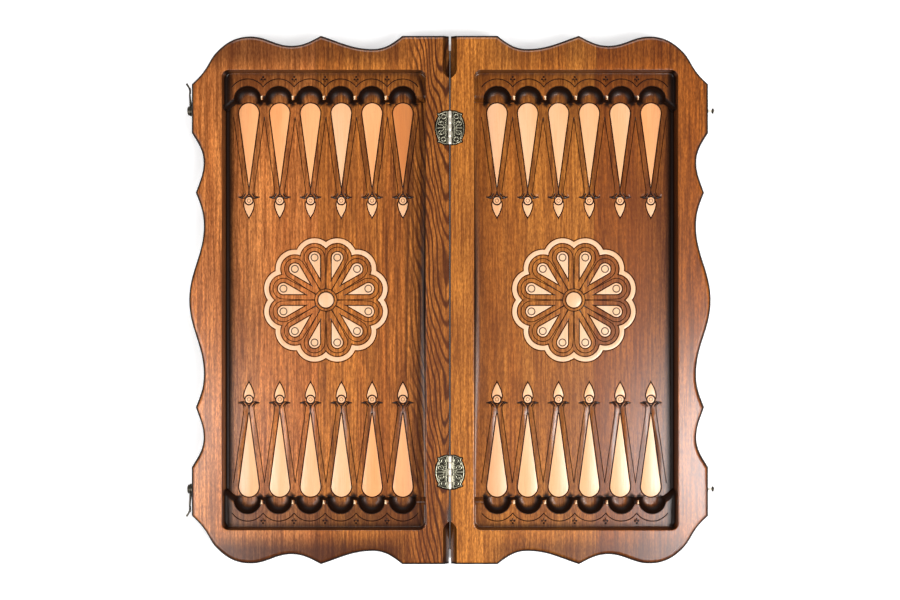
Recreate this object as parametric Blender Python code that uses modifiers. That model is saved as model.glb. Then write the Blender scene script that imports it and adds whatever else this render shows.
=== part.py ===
"""Folding backgammon board, lying open.

Two carved wooden trays are joined by two inlaid butt hinges. Light wooden points and rosettes are let
into their fields. Two swinging hooks on the left tray catch two pegs on the right tray when it is shut.
Metres. The origin is under the middle of the hinge line, on the surface that the board lies on.
+X runs to the right tray, +Y along the hinge line, +Z up out of the trays.
"""

import math

import bmesh
import bpy
from mathutils import Matrix, Vector

# Trays
LENGTH = 0.600
HALF_LENGTH = LENGTH / 2
THICKNESS = 0.038
FIELD_HEIGHT = 0.010
HEADER_HEIGHT = 0.020
EDGE_ROUND = 0.004
PARTING_GAP = 0.0004
FIT_GAP = 0.0003
CUT_ABOVE = 0.060
CUT_BELOW = -0.010
CUT_OVERLAP = 0.0004
OVERRUN = 0.030
MERGE_DISTANCE = 0.000002

# Outline of one tray's far quarter, from the hinge line round to the widest point:
# u out from the hinge line, v along it, and the headings in degrees on arriving and on leaving.
EDGE_KNOTS = (
    (-0.0200, 0.3000, 0, 0),
    (0.0540, 0.3000, 0, -38),
    (0.0875, 0.2850, 0, 0),
    (0.1464, 0.3000, 18, -28),
    (0.1800, 0.2887, 0, 0),
    (0.2260, 0.2992, 0, 0),
    (0.2635, 0.2828, -45, -45),
    (0.2737, 0.2686, -61, -61),
    (0.2930, 0.2450, -42, -90),
    (0.2930, 0.1895, -90, -121),
    (0.2797, 0.1560, -90, -90),
    (0.2885, 0.1216, -72, -112),
    (0.2794, 0.0840, -90, -90),
    (0.2960, 0.0000, -90, -90),
)
STRAIGHT_STRETCHES = (0, 8)
CURVE_STEPS = 5

# Pocket
POCKET_INNER = 0.0275
POCKET_OUTER = 0.2585
POCKET_END = 0.2606
POCKET_CORNER = 0.008
POCKET_MIDDLE = (POCKET_INNER + POCKET_OUTER) / 2

# Points and the checker scoops at their round ends
COLUMNS = 6
PITCH = 0.0355
POINT_ROUND = 0.0115
POINT_END = 0.2270
POINT_TIP = 0.1310
INLAY_THICKNESS = 0.0015
SCOOP_MIDDLE = 0.2290
SCOOP_RADIUS = 0.0158
SCOOP_COVE = 0.0090
SCOOP_COVE_ANGLES = (0, 35, 62, 90)
RECESS_TOP = FIELD_HEIGHT + 0.004
HEADER_FRONT = 0.2290
HEADER_COVE = 0.0085
HEADER_COVE_ANGLES = (-66, -38, 0)
HEADER_OVERRUN = 0.020

# Rosettes
LOBES = 12
LOBE_CENTRE = 0.0507
RING_OUTER_LOBE = 0.0221
RING_INNER_LOBE = 0.0169
DISC_RADIUS = 0.0087

# End notches on the hinge line
NOTCH_START = 0.2500
NOTCH_TAPER = 0.0110
NOTCH_RADIUS = 0.0078
NOTCH_KNEE = (0.72, 0.45)
SLIT_START = 0.2840
SLIT_HALF_WIDTH = 0.0012

# Hinges
HINGE_PLACES = {"upper": 0.1950, "lower": -0.1950}
FOLD_HEIGHT = THICKNESS + PARTING_GAP
LEAF_TOP = 0.0372
LEAF_BOTTOM = 0.0358
LEAF_INNER = 0.0030
LEAF_CROWN = (0.0075, 0.0178)
LEAF_EAR = (0.0134, 0.0154)
LEAF_NECK = (0.0126, 0.0137)
LEAF_BOW = 0.0163
LEAF_BOW_ANGLES = (50, 25)
LEAF_SAG = 0.0010
MORTISE_OVERRUN = 0.0020
MORTISE_FLOOR = 0.0355
MORTISE_GAP = 0.0008
BARREL_RADIUS = 0.0021
BARREL_HALF = 0.0188
PIN_RADIUS = 0.00085
PIN_HOLE = 0.00115
KNUCKLES = 5
TAB_OUTER = 0.0036
TAB_INNER = 0.0007
TAB_EASE = 0.0001
NAIL_OUT = 0.0072
NAIL_ALONG = 0.0128
NAIL_SHANK = 0.0008
NAIL_LENGTH = 0.0070
NAIL_POINT = 0.0010
NAIL_HEAD = 0.0017
NAIL_CROWN = 0.0012
NAIL_TOP = 0.0381

# Hooks, their screws and the pegs
LATCH_OUT = 0.2930
LATCH_PLACES = {"upper": 0.2155, "lower": -0.2155}
LATCH_HEIGHT = 0.0270
HOOK_REACH = 2 * (FOLD_HEIGHT - LATCH_HEIGHT)
HOOK_INNER = LATCH_OUT + 0.0018
HOOK_THICKNESS = 0.0016
HOOK_BOSS = 0.0055
HOOK_WAIST = 0.0022
HOOK_MOUTH = 0.0019
HOOK_HOLE = 0.0019
HOOK_CHIN = 0.0040
HOOK_DROP = 0.0046
HOOK_BEAK = ((0.0026, -0.0030), (0.0034, -0.0005), (0.0024, 0.0030), (0.0004, 0.0034))
PRONG_HALF = 0.0024
PRONG_INNER = HOOK_INNER + 0.0002
PRONG = ((0, 0.0006), (0, 0.0024), (0.0038, 0.0072), (0.0056, 0.0070), (0.0034, 0.0024))
SHANK_RADIUS = 0.0015
SHANK_DEPTH = 0.0110
HEAD_CROWN = 0.6
HEAD_BACK = 0.92
HEAD_DOME = 0.0004
HEAD_RISE = 0.0014
SCREW_HEAD = 0.0052
SCREW_REACH = LATCH_OUT + 0.0062
PEG_HEAD = 0.0031
PEG_NECK = LATCH_OUT + 0.0052
PEG_COLLAR = 0.0027
PEG_COLLAR_REACH = LATCH_OUT + 0.0015
LATCH_REACH = LATCH_OUT + 0.0080

SIDES = {"left": -1, "right": 1}

PARTS = "backgammon_board"
CUTTERS = "cutters"


def start_empty():
    """Remove every object and make the two collections."""
    for old in list(bpy.data.objects):
        bpy.data.objects.remove(old, do_unlink=True)
    for name in (PARTS, CUTTERS):
        collection = bpy.data.collections.new(name)
        bpy.context.scene.collection.children.link(collection)


def make_material(name, colour, roughness, metallic=0.0):
    """A Principled material."""
    material = bpy.data.materials.new(name)
    material.use_nodes = True
    shader = material.node_tree.nodes["Principled BSDF"]
    shader.inputs["Base Color"].default_value = (*colour, 1.0)
    shader.inputs["Roughness"].default_value = roughness
    shader.inputs["Metallic"].default_value = metallic
    material.diffuse_color = (*colour, 1.0)
    return material


def keep_as_part(obj, material, smooth=False):
    """Put an object in the parts collection with its material."""
    bpy.data.collections[PARTS].objects.link(obj)
    obj.data.materials.clear()
    obj.data.materials.append(material)
    if smooth:
        obj.data.shade_smooth()
        obj.data.set_sharp_from_angle(angle=math.radians(35))
    return obj


def keep_as_cutter(obj):
    """Put an object in the cutters collection, where it is only used to shape others."""
    bpy.data.collections[CUTTERS].objects.link(obj)
    obj.hide_render = True
    obj.display_type = "WIRE"
    return obj


def mesh_of(draft, tidy_flats=False):
    """The evaluated mesh of a draft object in world space; the draft itself is removed."""
    bpy.context.scene.collection.objects.link(draft)
    graph = bpy.context.evaluated_depsgraph_get()
    graph.update()
    mesh = bpy.data.meshes.new_from_object(draft.evaluated_get(graph))
    mesh.transform(draft.matrix_world)
    name = draft.name
    bpy.data.objects.remove(draft, do_unlink=True)
    work = bmesh.new()
    work.from_mesh(mesh)
    bmesh.ops.remove_doubles(work, verts=work.verts, dist=MERGE_DISTANCE)
    if tidy_flats:
        bmesh.ops.dissolve_limit(
            work, angle_limit=math.radians(0.5), verts=work.verts, edges=work.edges
        )
    bmesh.ops.recalc_face_normals(work, faces=work.faces)
    work.to_mesh(mesh)
    work.free()
    mesh.name = name
    return mesh


def plate_mesh(name, loops, bottom, top, turn=None):
    """A flat solid between two heights; the first loop is its outline and any others are holes."""
    curve = bpy.data.curves.new(name, "CURVE")
    curve.dimensions = "2D"
    curve.fill_mode = "BOTH"
    curve.extrude = (top - bottom) / 2
    for loop in loops:
        spline = curve.splines.new("POLY")
        spline.points.add(len(loop) - 1)
        for point, (across, along) in zip(spline.points, loop):
            point.co = (across, along, 0, 1)
        spline.use_cyclic_u = True
    draft = bpy.data.objects.new(name, curve)
    draft.matrix_world = (turn or Matrix()) @ Matrix.Translation((0, 0, (top + bottom) / 2))
    return mesh_of(draft, tidy_flats=True)


def turned_mesh(name, profile, steps, place=None):
    """A solid turned about Z from (radius, height) points that run down its outer side."""
    mesh = bpy.data.meshes.new(name)
    points = [(radius, 0, height) for radius, height in profile]
    mesh.from_pydata(points, [(i, i + 1) for i in range(len(points) - 1)], [])
    draft = bpy.data.objects.new(name, mesh)
    screw = draft.modifiers.new("turn", "SCREW")
    screw.axis = "Z"
    screw.steps = steps
    screw.render_steps = steps
    screw.use_merge_vertices = True
    screw.merge_threshold = 0.00001
    draft.matrix_world = place or Matrix()
    return mesh_of(draft)


def box_mesh(name, low, high):
    """A box between two corners."""
    work = bmesh.new()
    size = Vector(high) - Vector(low)
    middle = (Vector(high) + Vector(low)) / 2
    shape = Matrix.Translation(middle) @ Matrix.Diagonal((*size, 1))
    bmesh.ops.create_cube(work, size=1, matrix=shape)
    mesh = bpy.data.meshes.new(name)
    work.to_mesh(mesh)
    work.free()
    return mesh


def rod_mesh(name, radius, start, end, steps=20):
    """A round rod between two points."""
    work = bmesh.new()
    span = Vector(end) - Vector(start)
    place = Matrix.Translation((Vector(start) + Vector(end)) / 2)
    turn = span.to_track_quat("Z", "Y").to_matrix().to_4x4()
    bmesh.ops.create_cone(
        work,
        cap_ends=True,
        segments=steps,
        radius1=radius,
        radius2=radius,
        depth=span.length,
        matrix=place @ turn,
    )
    mesh = bpy.data.meshes.new(name)
    work.to_mesh(mesh)
    work.free()
    return mesh


def joined(name, meshes):
    """One mesh holding several separate closed shapes."""
    work = bmesh.new()
    for mesh in meshes:
        work.from_mesh(mesh)
    mesh = bpy.data.meshes.new(name)
    work.to_mesh(mesh)
    work.free()
    return mesh


def shape_with(obj, operation, name, mesh):
    """Cut, or join, a cutter's mesh to an object with an exact Boolean; returns the cutter."""
    cutter = keep_as_cutter(bpy.data.objects.new(name, mesh))
    boolean = obj.modifiers.new(name, "BOOLEAN")
    boolean.operation = operation
    boolean.solver = "EXACT"
    boolean.object = cutter
    return cutter


def bend(start, end, leave, arrive):
    """Points on a smooth curve between two places, given its headings in degrees at both ends."""
    reach = 0.38 * math.dist(start, end)
    first = Vector(start)
    last = Vector(end)
    near = first + reach * Vector((math.cos(math.radians(leave)), math.sin(math.radians(leave))))
    far = last - reach * Vector((math.cos(math.radians(arrive)), math.sin(math.radians(arrive))))
    points = []
    for step in range(CURVE_STEPS):
        t = step / CURVE_STEPS
        rest = 1 - t
        place = first * rest**3 + near * 3 * rest**2 * t + far * 3 * rest * t**2 + last * t**3
        points.append((place.x, place.y))
    return points


def tray_outline(side):
    """The closed outline of one tray, running past the hinge line, where it is trimmed later."""
    quarter = []
    for index in range(len(EDGE_KNOTS) - 1):
        u, v, _, leave = EDGE_KNOTS[index]
        next_u, next_v, arrive, _ = EDGE_KNOTS[index + 1]
        if index in STRAIGHT_STRETCHES:
            quarter.append((u, v))
        else:
            quarter += bend((u, v), (next_u, next_v), leave, arrive)
    widest = EDGE_KNOTS[-1][:2]
    mirrored = [(u, -v) for u, v in reversed(quarter)]
    return [(side * u, v) for u, v in quarter + [widest] + mirrored]


def arc(centre, radius, start, end, steps):
    """Points on an arc, with both ends, from one angle in degrees to another."""
    points = []
    for step in range(steps + 1):
        angle = math.radians(start + (end - start) * step / steps)
        points.append((centre[0] + radius * math.cos(angle), centre[1] + radius * math.sin(angle)))
    return points


def rounded_rectangle(low, high, corner):
    """A rectangle between two corners, with its four corners rounded."""
    points = []
    points += arc((high[0] - corner, high[1] - corner), corner, 0, 90, 4)
    points += arc((low[0] + corner, high[1] - corner), corner, 90, 180, 4)
    points += arc((low[0] + corner, low[1] + corner), corner, 180, 270, 4)
    points += arc((high[0] - corner, low[1] + corner), corner, 270, 360, 4)
    return points


def sided_rectangle(side, inner, outer, low, high, corner):
    """A rounded rectangle on one side of the hinge line, between two distances from it."""
    edges = sorted((side * inner, side * outer))
    return rounded_rectangle((edges[0], low), (edges[1], high), corner)


def drop_outline(middle, direction, grow=0.0):
    """A point's drop shape: round at its outer end, running straight to its tip."""
    radius = POINT_ROUND
    centre = POINT_END - radius
    lean = math.degrees(math.asin(radius / (centre - POINT_TIP)))
    bulb = arc((0, centre), radius + grow, -lean, 180 + lean, 14)
    tip = POINT_TIP - grow / math.sin(math.radians(lean)) * 0.5
    points = bulb + [(-grow / 2, tip), (grow / 2, tip)] if grow else bulb + [(0, tip)]
    return [(middle + across, direction * along) for across, along in points]


def column_places(side):
    """The distance along X of each of one tray's six columns."""
    first = POCKET_MIDDLE - PITCH * (COLUMNS - 1) / 2
    return [side * (first + PITCH * column) for column in range(COLUMNS)]


def scallop_outline(middle, lobe_radius):
    """A closed line of twelve round lobes about a middle on the X axis."""
    half_turn = math.pi / LOBES
    half_chord = LOBE_CENTRE * math.sin(half_turn)
    cusp = LOBE_CENTRE * math.cos(half_turn) + math.sqrt(lobe_radius**2 - half_chord**2)
    points = []
    for lobe in range(LOBES):
        heading = (2 * lobe + 1) * half_turn
        centre = Vector((LOBE_CENTRE * math.cos(heading), LOBE_CENTRE * math.sin(heading)))
        edge = heading - half_turn
        corner = Vector((cusp * math.cos(edge), cusp * math.sin(edge))) - centre
        opening = math.degrees(heading - math.atan2(corner.y, corner.x))
        opening = (opening + 180) % 360 - 180
        turned = math.degrees(heading)
        lobe_points = arc(centre, lobe_radius, turned - opening, turned + opening, 6)
        points += lobe_points[:-1]
    return [(middle + x, y) for x, y in points]


def header_mesh(side, end):
    """The raised header at one end of a pocket, its front edge hollowed to a cove, before scoops."""
    depth = HEADER_HEIGHT - FIELD_HEIGHT
    back = HALF_LENGTH + OVERRUN
    profile = [(HEADER_FRONT, CUT_BELOW), (HEADER_FRONT, FIELD_HEIGHT + CUT_OVERLAP)]
    for angle in HEADER_COVE_ANGLES:
        across = HEADER_COVE * math.cos(math.radians(angle))
        down = depth * math.sin(math.radians(angle))
        profile.append((HEADER_FRONT + across, HEADER_HEIGHT + down))
    profile += [(back, HEADER_HEIGHT), (back, CUT_BELOW)]
    edges = sorted((side * (POCKET_INNER - HEADER_OVERRUN), side * (POCKET_OUTER + HEADER_OVERRUN)))
    upright = Matrix(((0, 0, 1, 0), (end, 0, 0, 0), (0, 1, 0, 0), (0, 0, 0, 1)))
    return plate_mesh("header", [profile], edges[0], edges[1], upright)


def scoop_mesh(centre):
    """A round hollow where the end checker of a column sits: flat, with a coved edge."""
    flat = SCOOP_RADIUS - SCOOP_COVE
    depth = HEADER_HEIGHT - FIELD_HEIGHT + 2 * CUT_OVERLAP
    brim = HEADER_HEIGHT + CUT_OVERLAP
    profile = [(0, CUT_ABOVE), (SCOOP_RADIUS, CUT_ABOVE)]
    for angle in SCOOP_COVE_ANGLES:
        across = flat + SCOOP_COVE * math.cos(math.radians(angle))
        profile.append((across, brim - depth * math.sin(math.radians(angle))))
    profile += [(flat, 2 * CUT_BELOW), (0, 2 * CUT_BELOW)]
    return turned_mesh("scoop", profile, 20, Matrix.Translation((centre[0], centre[1], 0)))


def cut_pocket(tray, name, side):
    """Sink the playing field, leaving a scooped header at each end."""
    loop = sided_rectangle(
        side, POCKET_INNER, POCKET_OUTER, -POCKET_END, POCKET_END, POCKET_CORNER
    )
    pocket_mesh = plate_mesh("pocket", [loop], FIELD_HEIGHT, CUT_ABOVE)
    pocket = shape_with(tray, "DIFFERENCE", name + "_pocket", pocket_mesh)
    for end, label in ((1, "upper"), (-1, "lower")):
        header_name = name + "_" + label + "_header"
        header = shape_with(pocket, "DIFFERENCE", header_name, header_mesh(side, end))
        scoops = [scoop_mesh((x, end * SCOOP_MIDDLE)) for x in column_places(side)]
        shape_with(header, "DIFFERENCE", header_name + "_scoops", joined("scoops", scoops))


def cut_recesses(tray, name, side):
    """Sink the recesses that the points, the ring and the disc are glued into."""
    floor = FIELD_HEIGHT - INLAY_THICKNESS - FIT_GAP
    middle = side * POCKET_MIDDLE
    shapes = []
    for direction in (1, -1):
        for x in column_places(side):
            loop = drop_outline(x, direction, FIT_GAP)
            shapes.append(plate_mesh("recess", [loop], floor, RECESS_TOP))
    outer = scallop_outline(middle, RING_OUTER_LOBE + FIT_GAP)
    inner = scallop_outline(middle, RING_INNER_LOBE - FIT_GAP)
    shapes.append(plate_mesh("recess", [outer, inner], floor, RECESS_TOP))
    disc = arc((middle, 0), DISC_RADIUS + FIT_GAP, 0, 345, 23)
    shapes.append(plate_mesh("recess", [disc], floor, RECESS_TOP))
    shape_with(tray, "DIFFERENCE", name + "_recesses", joined("recesses", shapes))


def cut_hinge_line(tray, name, side):
    """Trim the tray at the hinge line and cut its two end notches and end slits."""
    edges = sorted((side * PARTING_GAP, -side * OVERRUN))
    low = (edges[0], -HALF_LENGTH - OVERRUN, CUT_BELOW)
    high = (edges[1], HALF_LENGTH + OVERRUN, CUT_ABOVE)
    shape_with(tray, "DIFFERENCE", name + "_trim", box_mesh("trim", low, high))
    notches = []
    slits = []
    for end in (1, -1):
        profile = [
            (0, HALF_LENGTH + OVERRUN),
            (NOTCH_RADIUS, HALF_LENGTH + OVERRUN),
            (NOTCH_RADIUS, NOTCH_START + NOTCH_TAPER),
            (NOTCH_RADIUS * NOTCH_KNEE[0], NOTCH_START + NOTCH_TAPER * NOTCH_KNEE[1]),
            (0, NOTCH_START),
        ]
        along = Matrix(((1, 0, 0, 0), (0, 0, end, 0), (0, 1, 0, THICKNESS), (0, 0, 0, 1)))
        notches.append(turned_mesh("notch", profile, 20, along))
        reach = sorted((end * SLIT_START, end * (HALF_LENGTH + OVERRUN)))
        slits.append(
            box_mesh(
                "slit",
                (-SLIT_HALF_WIDTH, reach[0], CUT_BELOW),
                (SLIT_HALF_WIDTH, reach[1], CUT_ABOVE),
            )
        )
    shape_with(tray, "DIFFERENCE", name + "_notches", joined("notches", notches))
    shape_with(tray, "DIFFERENCE", name + "_slits", joined("slits", slits))


def leaf_outline(side, place, grow=0.0):
    """Half of the hinge's plan: bowed ends and side that meet at two small ears."""
    inner = -MORTISE_OVERRUN if grow else LEAF_INNER
    crown = (LEAF_CROWN[0], LEAF_CROWN[1] + grow)
    ear = (LEAF_EAR[0] + grow, LEAF_EAR[1] + grow)
    neck = (LEAF_NECK[0] + grow, LEAF_NECK[1])
    bow = LEAF_BOW + grow
    root = neck[0] - LEAF_SAG
    quarter = [(inner, BARREL_HALF + grow), crown, ear, neck]
    for angle in LEAF_BOW_ANGLES:
        out = root + (bow - root) * math.cos(math.radians(angle))
        quarter.append((out, neck[1] * math.sin(math.radians(angle))))
    lower = [(u, -v) for u, v in reversed(quarter)]
    return [(side * u, place + v) for u, v in quarter + [(bow, 0)] + lower]


def nail_places(side, place):
    """The two nails of one leaf."""
    return [(side * NAIL_OUT, place + along) for along in (NAIL_ALONG, -NAIL_ALONG)]


def cut_hinge_seats(tray, name, side):
    """Sink the mortises for the leaves, and drill the nails' holes."""
    mortises = []
    holes = []
    for place in HINGE_PLACES.values():
        loop = leaf_outline(side, place, MORTISE_GAP)
        mortises.append(plate_mesh("mortise", [loop], MORTISE_FLOOR, CUT_ABOVE))
        for x, y in nail_places(side, place):
            foot = NAIL_TOP - NAIL_LENGTH - FIT_GAP
            ends = ((x, y, foot), (x, y, LEAF_TOP))
            holes.append(rod_mesh("hole", NAIL_SHANK + FIT_GAP, *ends, steps=10))
    shape_with(tray, "DIFFERENCE", name + "_mortises", joined("mortises", mortises))
    shape_with(tray, "DIFFERENCE", name + "_nail_holes", joined("nail_holes", holes))


def cut_latch_bores(tray, name, side):
    """Drill the two bores in the tray's outer side for the pegs, or for the hooks' screws."""
    bores = []
    for place in LATCH_PLACES.values():
        ends = (
            (side * (LATCH_OUT - SHANK_DEPTH - FIT_GAP), place, LATCH_HEIGHT),
            (side * (LATCH_OUT + OVERRUN), place, LATCH_HEIGHT),
        )
        bores.append(rod_mesh("bore", SHANK_RADIUS + FIT_GAP, *ends, steps=12))
    shape_with(tray, "DIFFERENCE", name + "_bores", joined("bores", bores))


def make_tray(name, side, material):
    """One tray, rounded along its outer edges and cut from a thick plank."""
    tray = bpy.data.objects.new(name, plate_mesh(name, [tray_outline(side)], 0, THICKNESS))
    keep_as_part(tray, material)
    rounding = tray.modifiers.new("round_over", "BEVEL")
    rounding.width = EDGE_ROUND
    rounding.segments = 1
    rounding.limit_method = "ANGLE"
    rounding.angle_limit = math.radians(70)
    cut_hinge_line(tray, name, side)
    cut_pocket(tray, name, side)
    cut_recesses(tray, name, side)
    cut_hinge_seats(tray, name, side)
    cut_latch_bores(tray, name, side)


def make_points(material):
    """The twenty-four points, numbered round the board from the lower right corner."""
    floor = FIELD_HEIGHT - INLAY_THICKNESS
    places = sorted(column_places(1) + column_places(-1), reverse=True)
    stops = [(x, -1) for x in places] + [(x, 1) for x in reversed(places)]
    for number, (x, direction) in enumerate(stops, start=1):
        name = f"point_{number:02d}"
        mesh = plate_mesh(name, [drop_outline(x, direction)], floor, FIELD_HEIGHT)
        keep_as_part(bpy.data.objects.new(name, mesh), material)


def make_rosette(label, side, material):
    """The scalloped ring and the middle disc of one tray's rosette."""
    floor = FIELD_HEIGHT - INLAY_THICKNESS
    middle = side * POCKET_MIDDLE
    outer = scallop_outline(middle, RING_OUTER_LOBE)
    inner = scallop_outline(middle, RING_INNER_LOBE)
    ring_name = label + "_rosette_ring"
    ring = plate_mesh(ring_name, [outer, inner], floor, FIELD_HEIGHT)
    keep_as_part(bpy.data.objects.new(ring_name, ring), material)
    disc_name = label + "_rosette_disc"
    rim = arc((middle, 0), DISC_RADIUS, 0, 345, 23)
    disc = plate_mesh(disc_name, [rim], floor, FIELD_HEIGHT)
    keep_as_part(bpy.data.objects.new(disc_name, disc), material)


def knuckle_spans(place, side):
    """The stretches along Y of one leaf's knuckles; the left leaf has the two end ones."""
    length = 2 * BARREL_HALF / KNUCKLES
    first = 0 if side < 0 else 1
    spans = []
    for index in range(first, KNUCKLES, 2):
        low = place - BARREL_HALF + index * length + FIT_GAP / 2
        spans.append((low, low + length - FIT_GAP))
    return spans


def make_leaf(name, side, place, material):
    """One leaf: a thin plate whose knuckles wrap the pin, with two nail holes."""
    mesh = plate_mesh(name, [leaf_outline(side, place)], LEAF_BOTTOM, LEAF_TOP)
    leaf = keep_as_part(bpy.data.objects.new(name, mesh), material)
    tabs = []
    barrels = []
    for low, high in knuckle_spans(place, side):
        edges = sorted((side * TAB_INNER, side * TAB_OUTER))
        tabs.append(
            box_mesh(
                "tab",
                (edges[0], low + TAB_EASE, LEAF_BOTTOM + TAB_EASE),
                (edges[1], high - TAB_EASE, LEAF_TOP - TAB_EASE),
            )
        )
        barrels.append(
            rod_mesh("barrel", BARREL_RADIUS, (0, low, FOLD_HEIGHT), (0, high, FOLD_HEIGHT), 16)
        )
    shape_with(leaf, "UNION", name + "_tabs", joined("tabs", tabs))
    shape_with(leaf, "UNION", name + "_barrels", joined("barrels", barrels))
    reach = BARREL_HALF + OVERRUN
    ends = ((0, place - reach, FOLD_HEIGHT), (0, place + reach, FOLD_HEIGHT))
    shape_with(leaf, "DIFFERENCE", name + "_bore", rod_mesh("bore", PIN_HOLE, *ends, steps=10))
    holes = []
    for x, y in nail_places(side, place):
        ends = ((x, y, LEAF_BOTTOM - OVERRUN), (x, y, LEAF_TOP + OVERRUN))
        holes.append(rod_mesh("hole", NAIL_SHANK + FIT_GAP, *ends, steps=10))
    shape_with(leaf, "DIFFERENCE", name + "_holes", joined("holes", holes))


def make_nail(name, x, y, material):
    """A small nail with a flat round head."""
    neck = LEAF_TOP + FIT_GAP
    profile = [
        (0, NAIL_TOP),
        (NAIL_CROWN, NAIL_TOP),
        (NAIL_HEAD, neck),
        (NAIL_SHANK, neck),
        (NAIL_SHANK, NAIL_TOP - NAIL_LENGTH + NAIL_POINT),
        (0, NAIL_TOP - NAIL_LENGTH),
    ]
    mesh = turned_mesh(name, profile, 12, Matrix.Translation((x, y, 0)))
    keep_as_part(bpy.data.objects.new(name, mesh), material, smooth=True)


def make_hinge(label, place, leaf_material, pin_material, nail_material):
    """Two leaves, their pin and four nails."""
    for side_name, side in SIDES.items():
        make_leaf(f"{label}_hinge_{side_name}_leaf", side, place, leaf_material)
        for number, (x, y) in enumerate(nail_places(side, place), start=1):
            make_nail(f"{label}_hinge_{side_name}_nail_{number}", x, y, nail_material)
    name = label + "_hinge_pin"
    ends = ((0, place - BARREL_HALF, FOLD_HEIGHT), (0, place + BARREL_HALF, FOLD_HEIGHT))
    pin = bpy.data.objects.new(name, rod_mesh(name, PIN_RADIUS, *ends, steps=10))
    keep_as_part(pin, pin_material, smooth=True)


def hook_outline(end):
    """The hook in its own plane: along the tray's side from its pivot, and up from it."""
    boss_edge = math.degrees(math.asin(HOOK_WAIST / HOOK_BOSS))
    boss = arc((0, 0), HOOK_BOSS, boss_edge, 360 - boss_edge, 16)
    mouth = arc((HOOK_REACH, 0), HOOK_MOUTH, 360, 180, 6)
    root = HOOK_REACH + HOOK_MOUTH
    beak = [(root + past, up) for past, up in HOOK_BEAK]
    under = [(HOOK_REACH - HOOK_CHIN, -HOOK_WAIST), (HOOK_REACH, -HOOK_DROP)]
    over = [(HOOK_REACH - HOOK_MOUTH, HOOK_WAIST)]
    return [(end * along, up) for along, up in boss + under + beak + mouth + over]


def make_hook(label, end, material):
    """A flat hook with a hole for its screw, an open mouth for the peg and an outward prong."""
    name = label + "_hook"
    place = LATCH_PLACES[label]
    hole = [(end * x, y) for x, y in arc((0, 0), HOOK_HOLE, 0, 330, 11)]
    flat_to_side = Matrix(((0, 0, 1, 0), (1, 0, 0, 0), (0, 1, 0, 0), (0, 0, 0, 1)))
    edges = (-HOOK_INNER - HOOK_THICKNESS, -HOOK_INNER)
    mesh = plate_mesh(name, [hook_outline(end), hole], *edges, flat_to_side)
    hook = keep_as_part(bpy.data.objects.new(name, mesh), material)
    root = HOOK_REACH + HOOK_MOUTH
    prong = [(-PRONG_INNER - out, end * (root + along)) for out, along in PRONG]
    prong_mesh = plate_mesh("prong", [prong], -PRONG_HALF, PRONG_HALF)
    shape_with(hook, "UNION", name + "_prong", prong_mesh)
    hook.location = (0, place, LATCH_HEIGHT)
    for modifier in hook.modifiers:
        modifier.object.location = hook.location


def make_side_pin(name, side, place, profile, material):
    """A turned piece driven into a tray's side; its profile runs from its outer end inwards."""
    turn = Matrix(((0, 0, side, 0), (0, 1, 0, 0), (-side, 0, 0, 0), (0, 0, 0, 1)))
    mesh = turned_mesh(name, profile, 16, Matrix.Translation((0, place, LATCH_HEIGHT)) @ turn)
    keep_as_part(bpy.data.objects.new(name, mesh), material, smooth=True)


def domed_head(radius, reach, start):
    """The head of a side pin, from its middle out to its rim and in to its shank."""
    return [
        (0, reach),
        (radius * HEAD_CROWN, reach - HEAD_DOME),
        (radius, reach - HEAD_RISE),
        (radius * HEAD_BACK, start),
        (SHANK_RADIUS, start),
    ]


def make_latches(hook_material, peg_material):
    """Both hooks with their pivot screws, and the pegs that they catch."""
    foot = LATCH_OUT - SHANK_DEPTH
    shank = [(SHANK_RADIUS, foot), (0, foot)]
    screw = domed_head(SCREW_HEAD, SCREW_REACH, HOOK_INNER + HOOK_THICKNESS + FIT_GAP) + shank
    collar = [
        (SHANK_RADIUS, PEG_COLLAR_REACH),
        (PEG_COLLAR, PEG_COLLAR_REACH),
        (PEG_COLLAR, LATCH_OUT + FIT_GAP),
        (SHANK_RADIUS, LATCH_OUT + FIT_GAP),
    ]
    peg = domed_head(PEG_HEAD, LATCH_REACH, PEG_NECK) + collar + shank
    for label, place in LATCH_PLACES.items():
        make_hook(label, 1 if place > 0 else -1, hook_material)
        make_side_pin(label + "_hook_screw", -1, place, screw, hook_material)
        make_side_pin(label + "_peg", 1, place, peg, peg_material)


def hang_right_pieces():
    """Parent every piece that folds with the right tray to an empty on the hinges' axis."""
    axis = bpy.data.objects.new("fold_axis", None)
    axis.location = (0, 0, FOLD_HEIGHT)
    bpy.data.collections[PARTS].objects.link(axis)
    for piece in list(bpy.data.collections[PARTS].objects):
        if piece.type != "MESH" or piece.name.endswith("_pin"):
            continue
        middle = sum((Vector(corner) for corner in piece.bound_box), Vector()) / 8
        if middle.x > PARTING_GAP:
            piece.parent = axis
            piece.matrix_parent_inverse = Matrix.Translation(-axis.location)


def main():
    start_empty()
    left_wood = make_material("left_wood", (0.42, 0.17, 0.05), 0.3)
    right_wood = make_material("right_wood", (0.46, 0.20, 0.06), 0.3)
    light_wood = make_material("light_wood", (0.90, 0.66, 0.38), 0.3)
    ring_wood = make_material("ring_wood", (0.92, 0.70, 0.42), 0.3)
    antique = make_material("antique_metal", (0.32, 0.30, 0.24), 0.4, 1.0)
    bright = make_material("bright_metal", (0.80, 0.77, 0.68), 0.25, 1.0)
    dark = make_material("dark_metal", (0.08, 0.07, 0.06), 0.4, 1.0)
    woods = {"left": left_wood, "right": right_wood}
    for label, side in SIDES.items():
        make_tray(label + "_case", side, woods[label])
        make_rosette(label, side, ring_wood)
    make_points(light_wood)
    for label, place in HINGE_PLACES.items():
        make_hinge(label, place, antique, bright, bright)
    make_latches(dark, bright)
    hang_right_pieces()


main()
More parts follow.
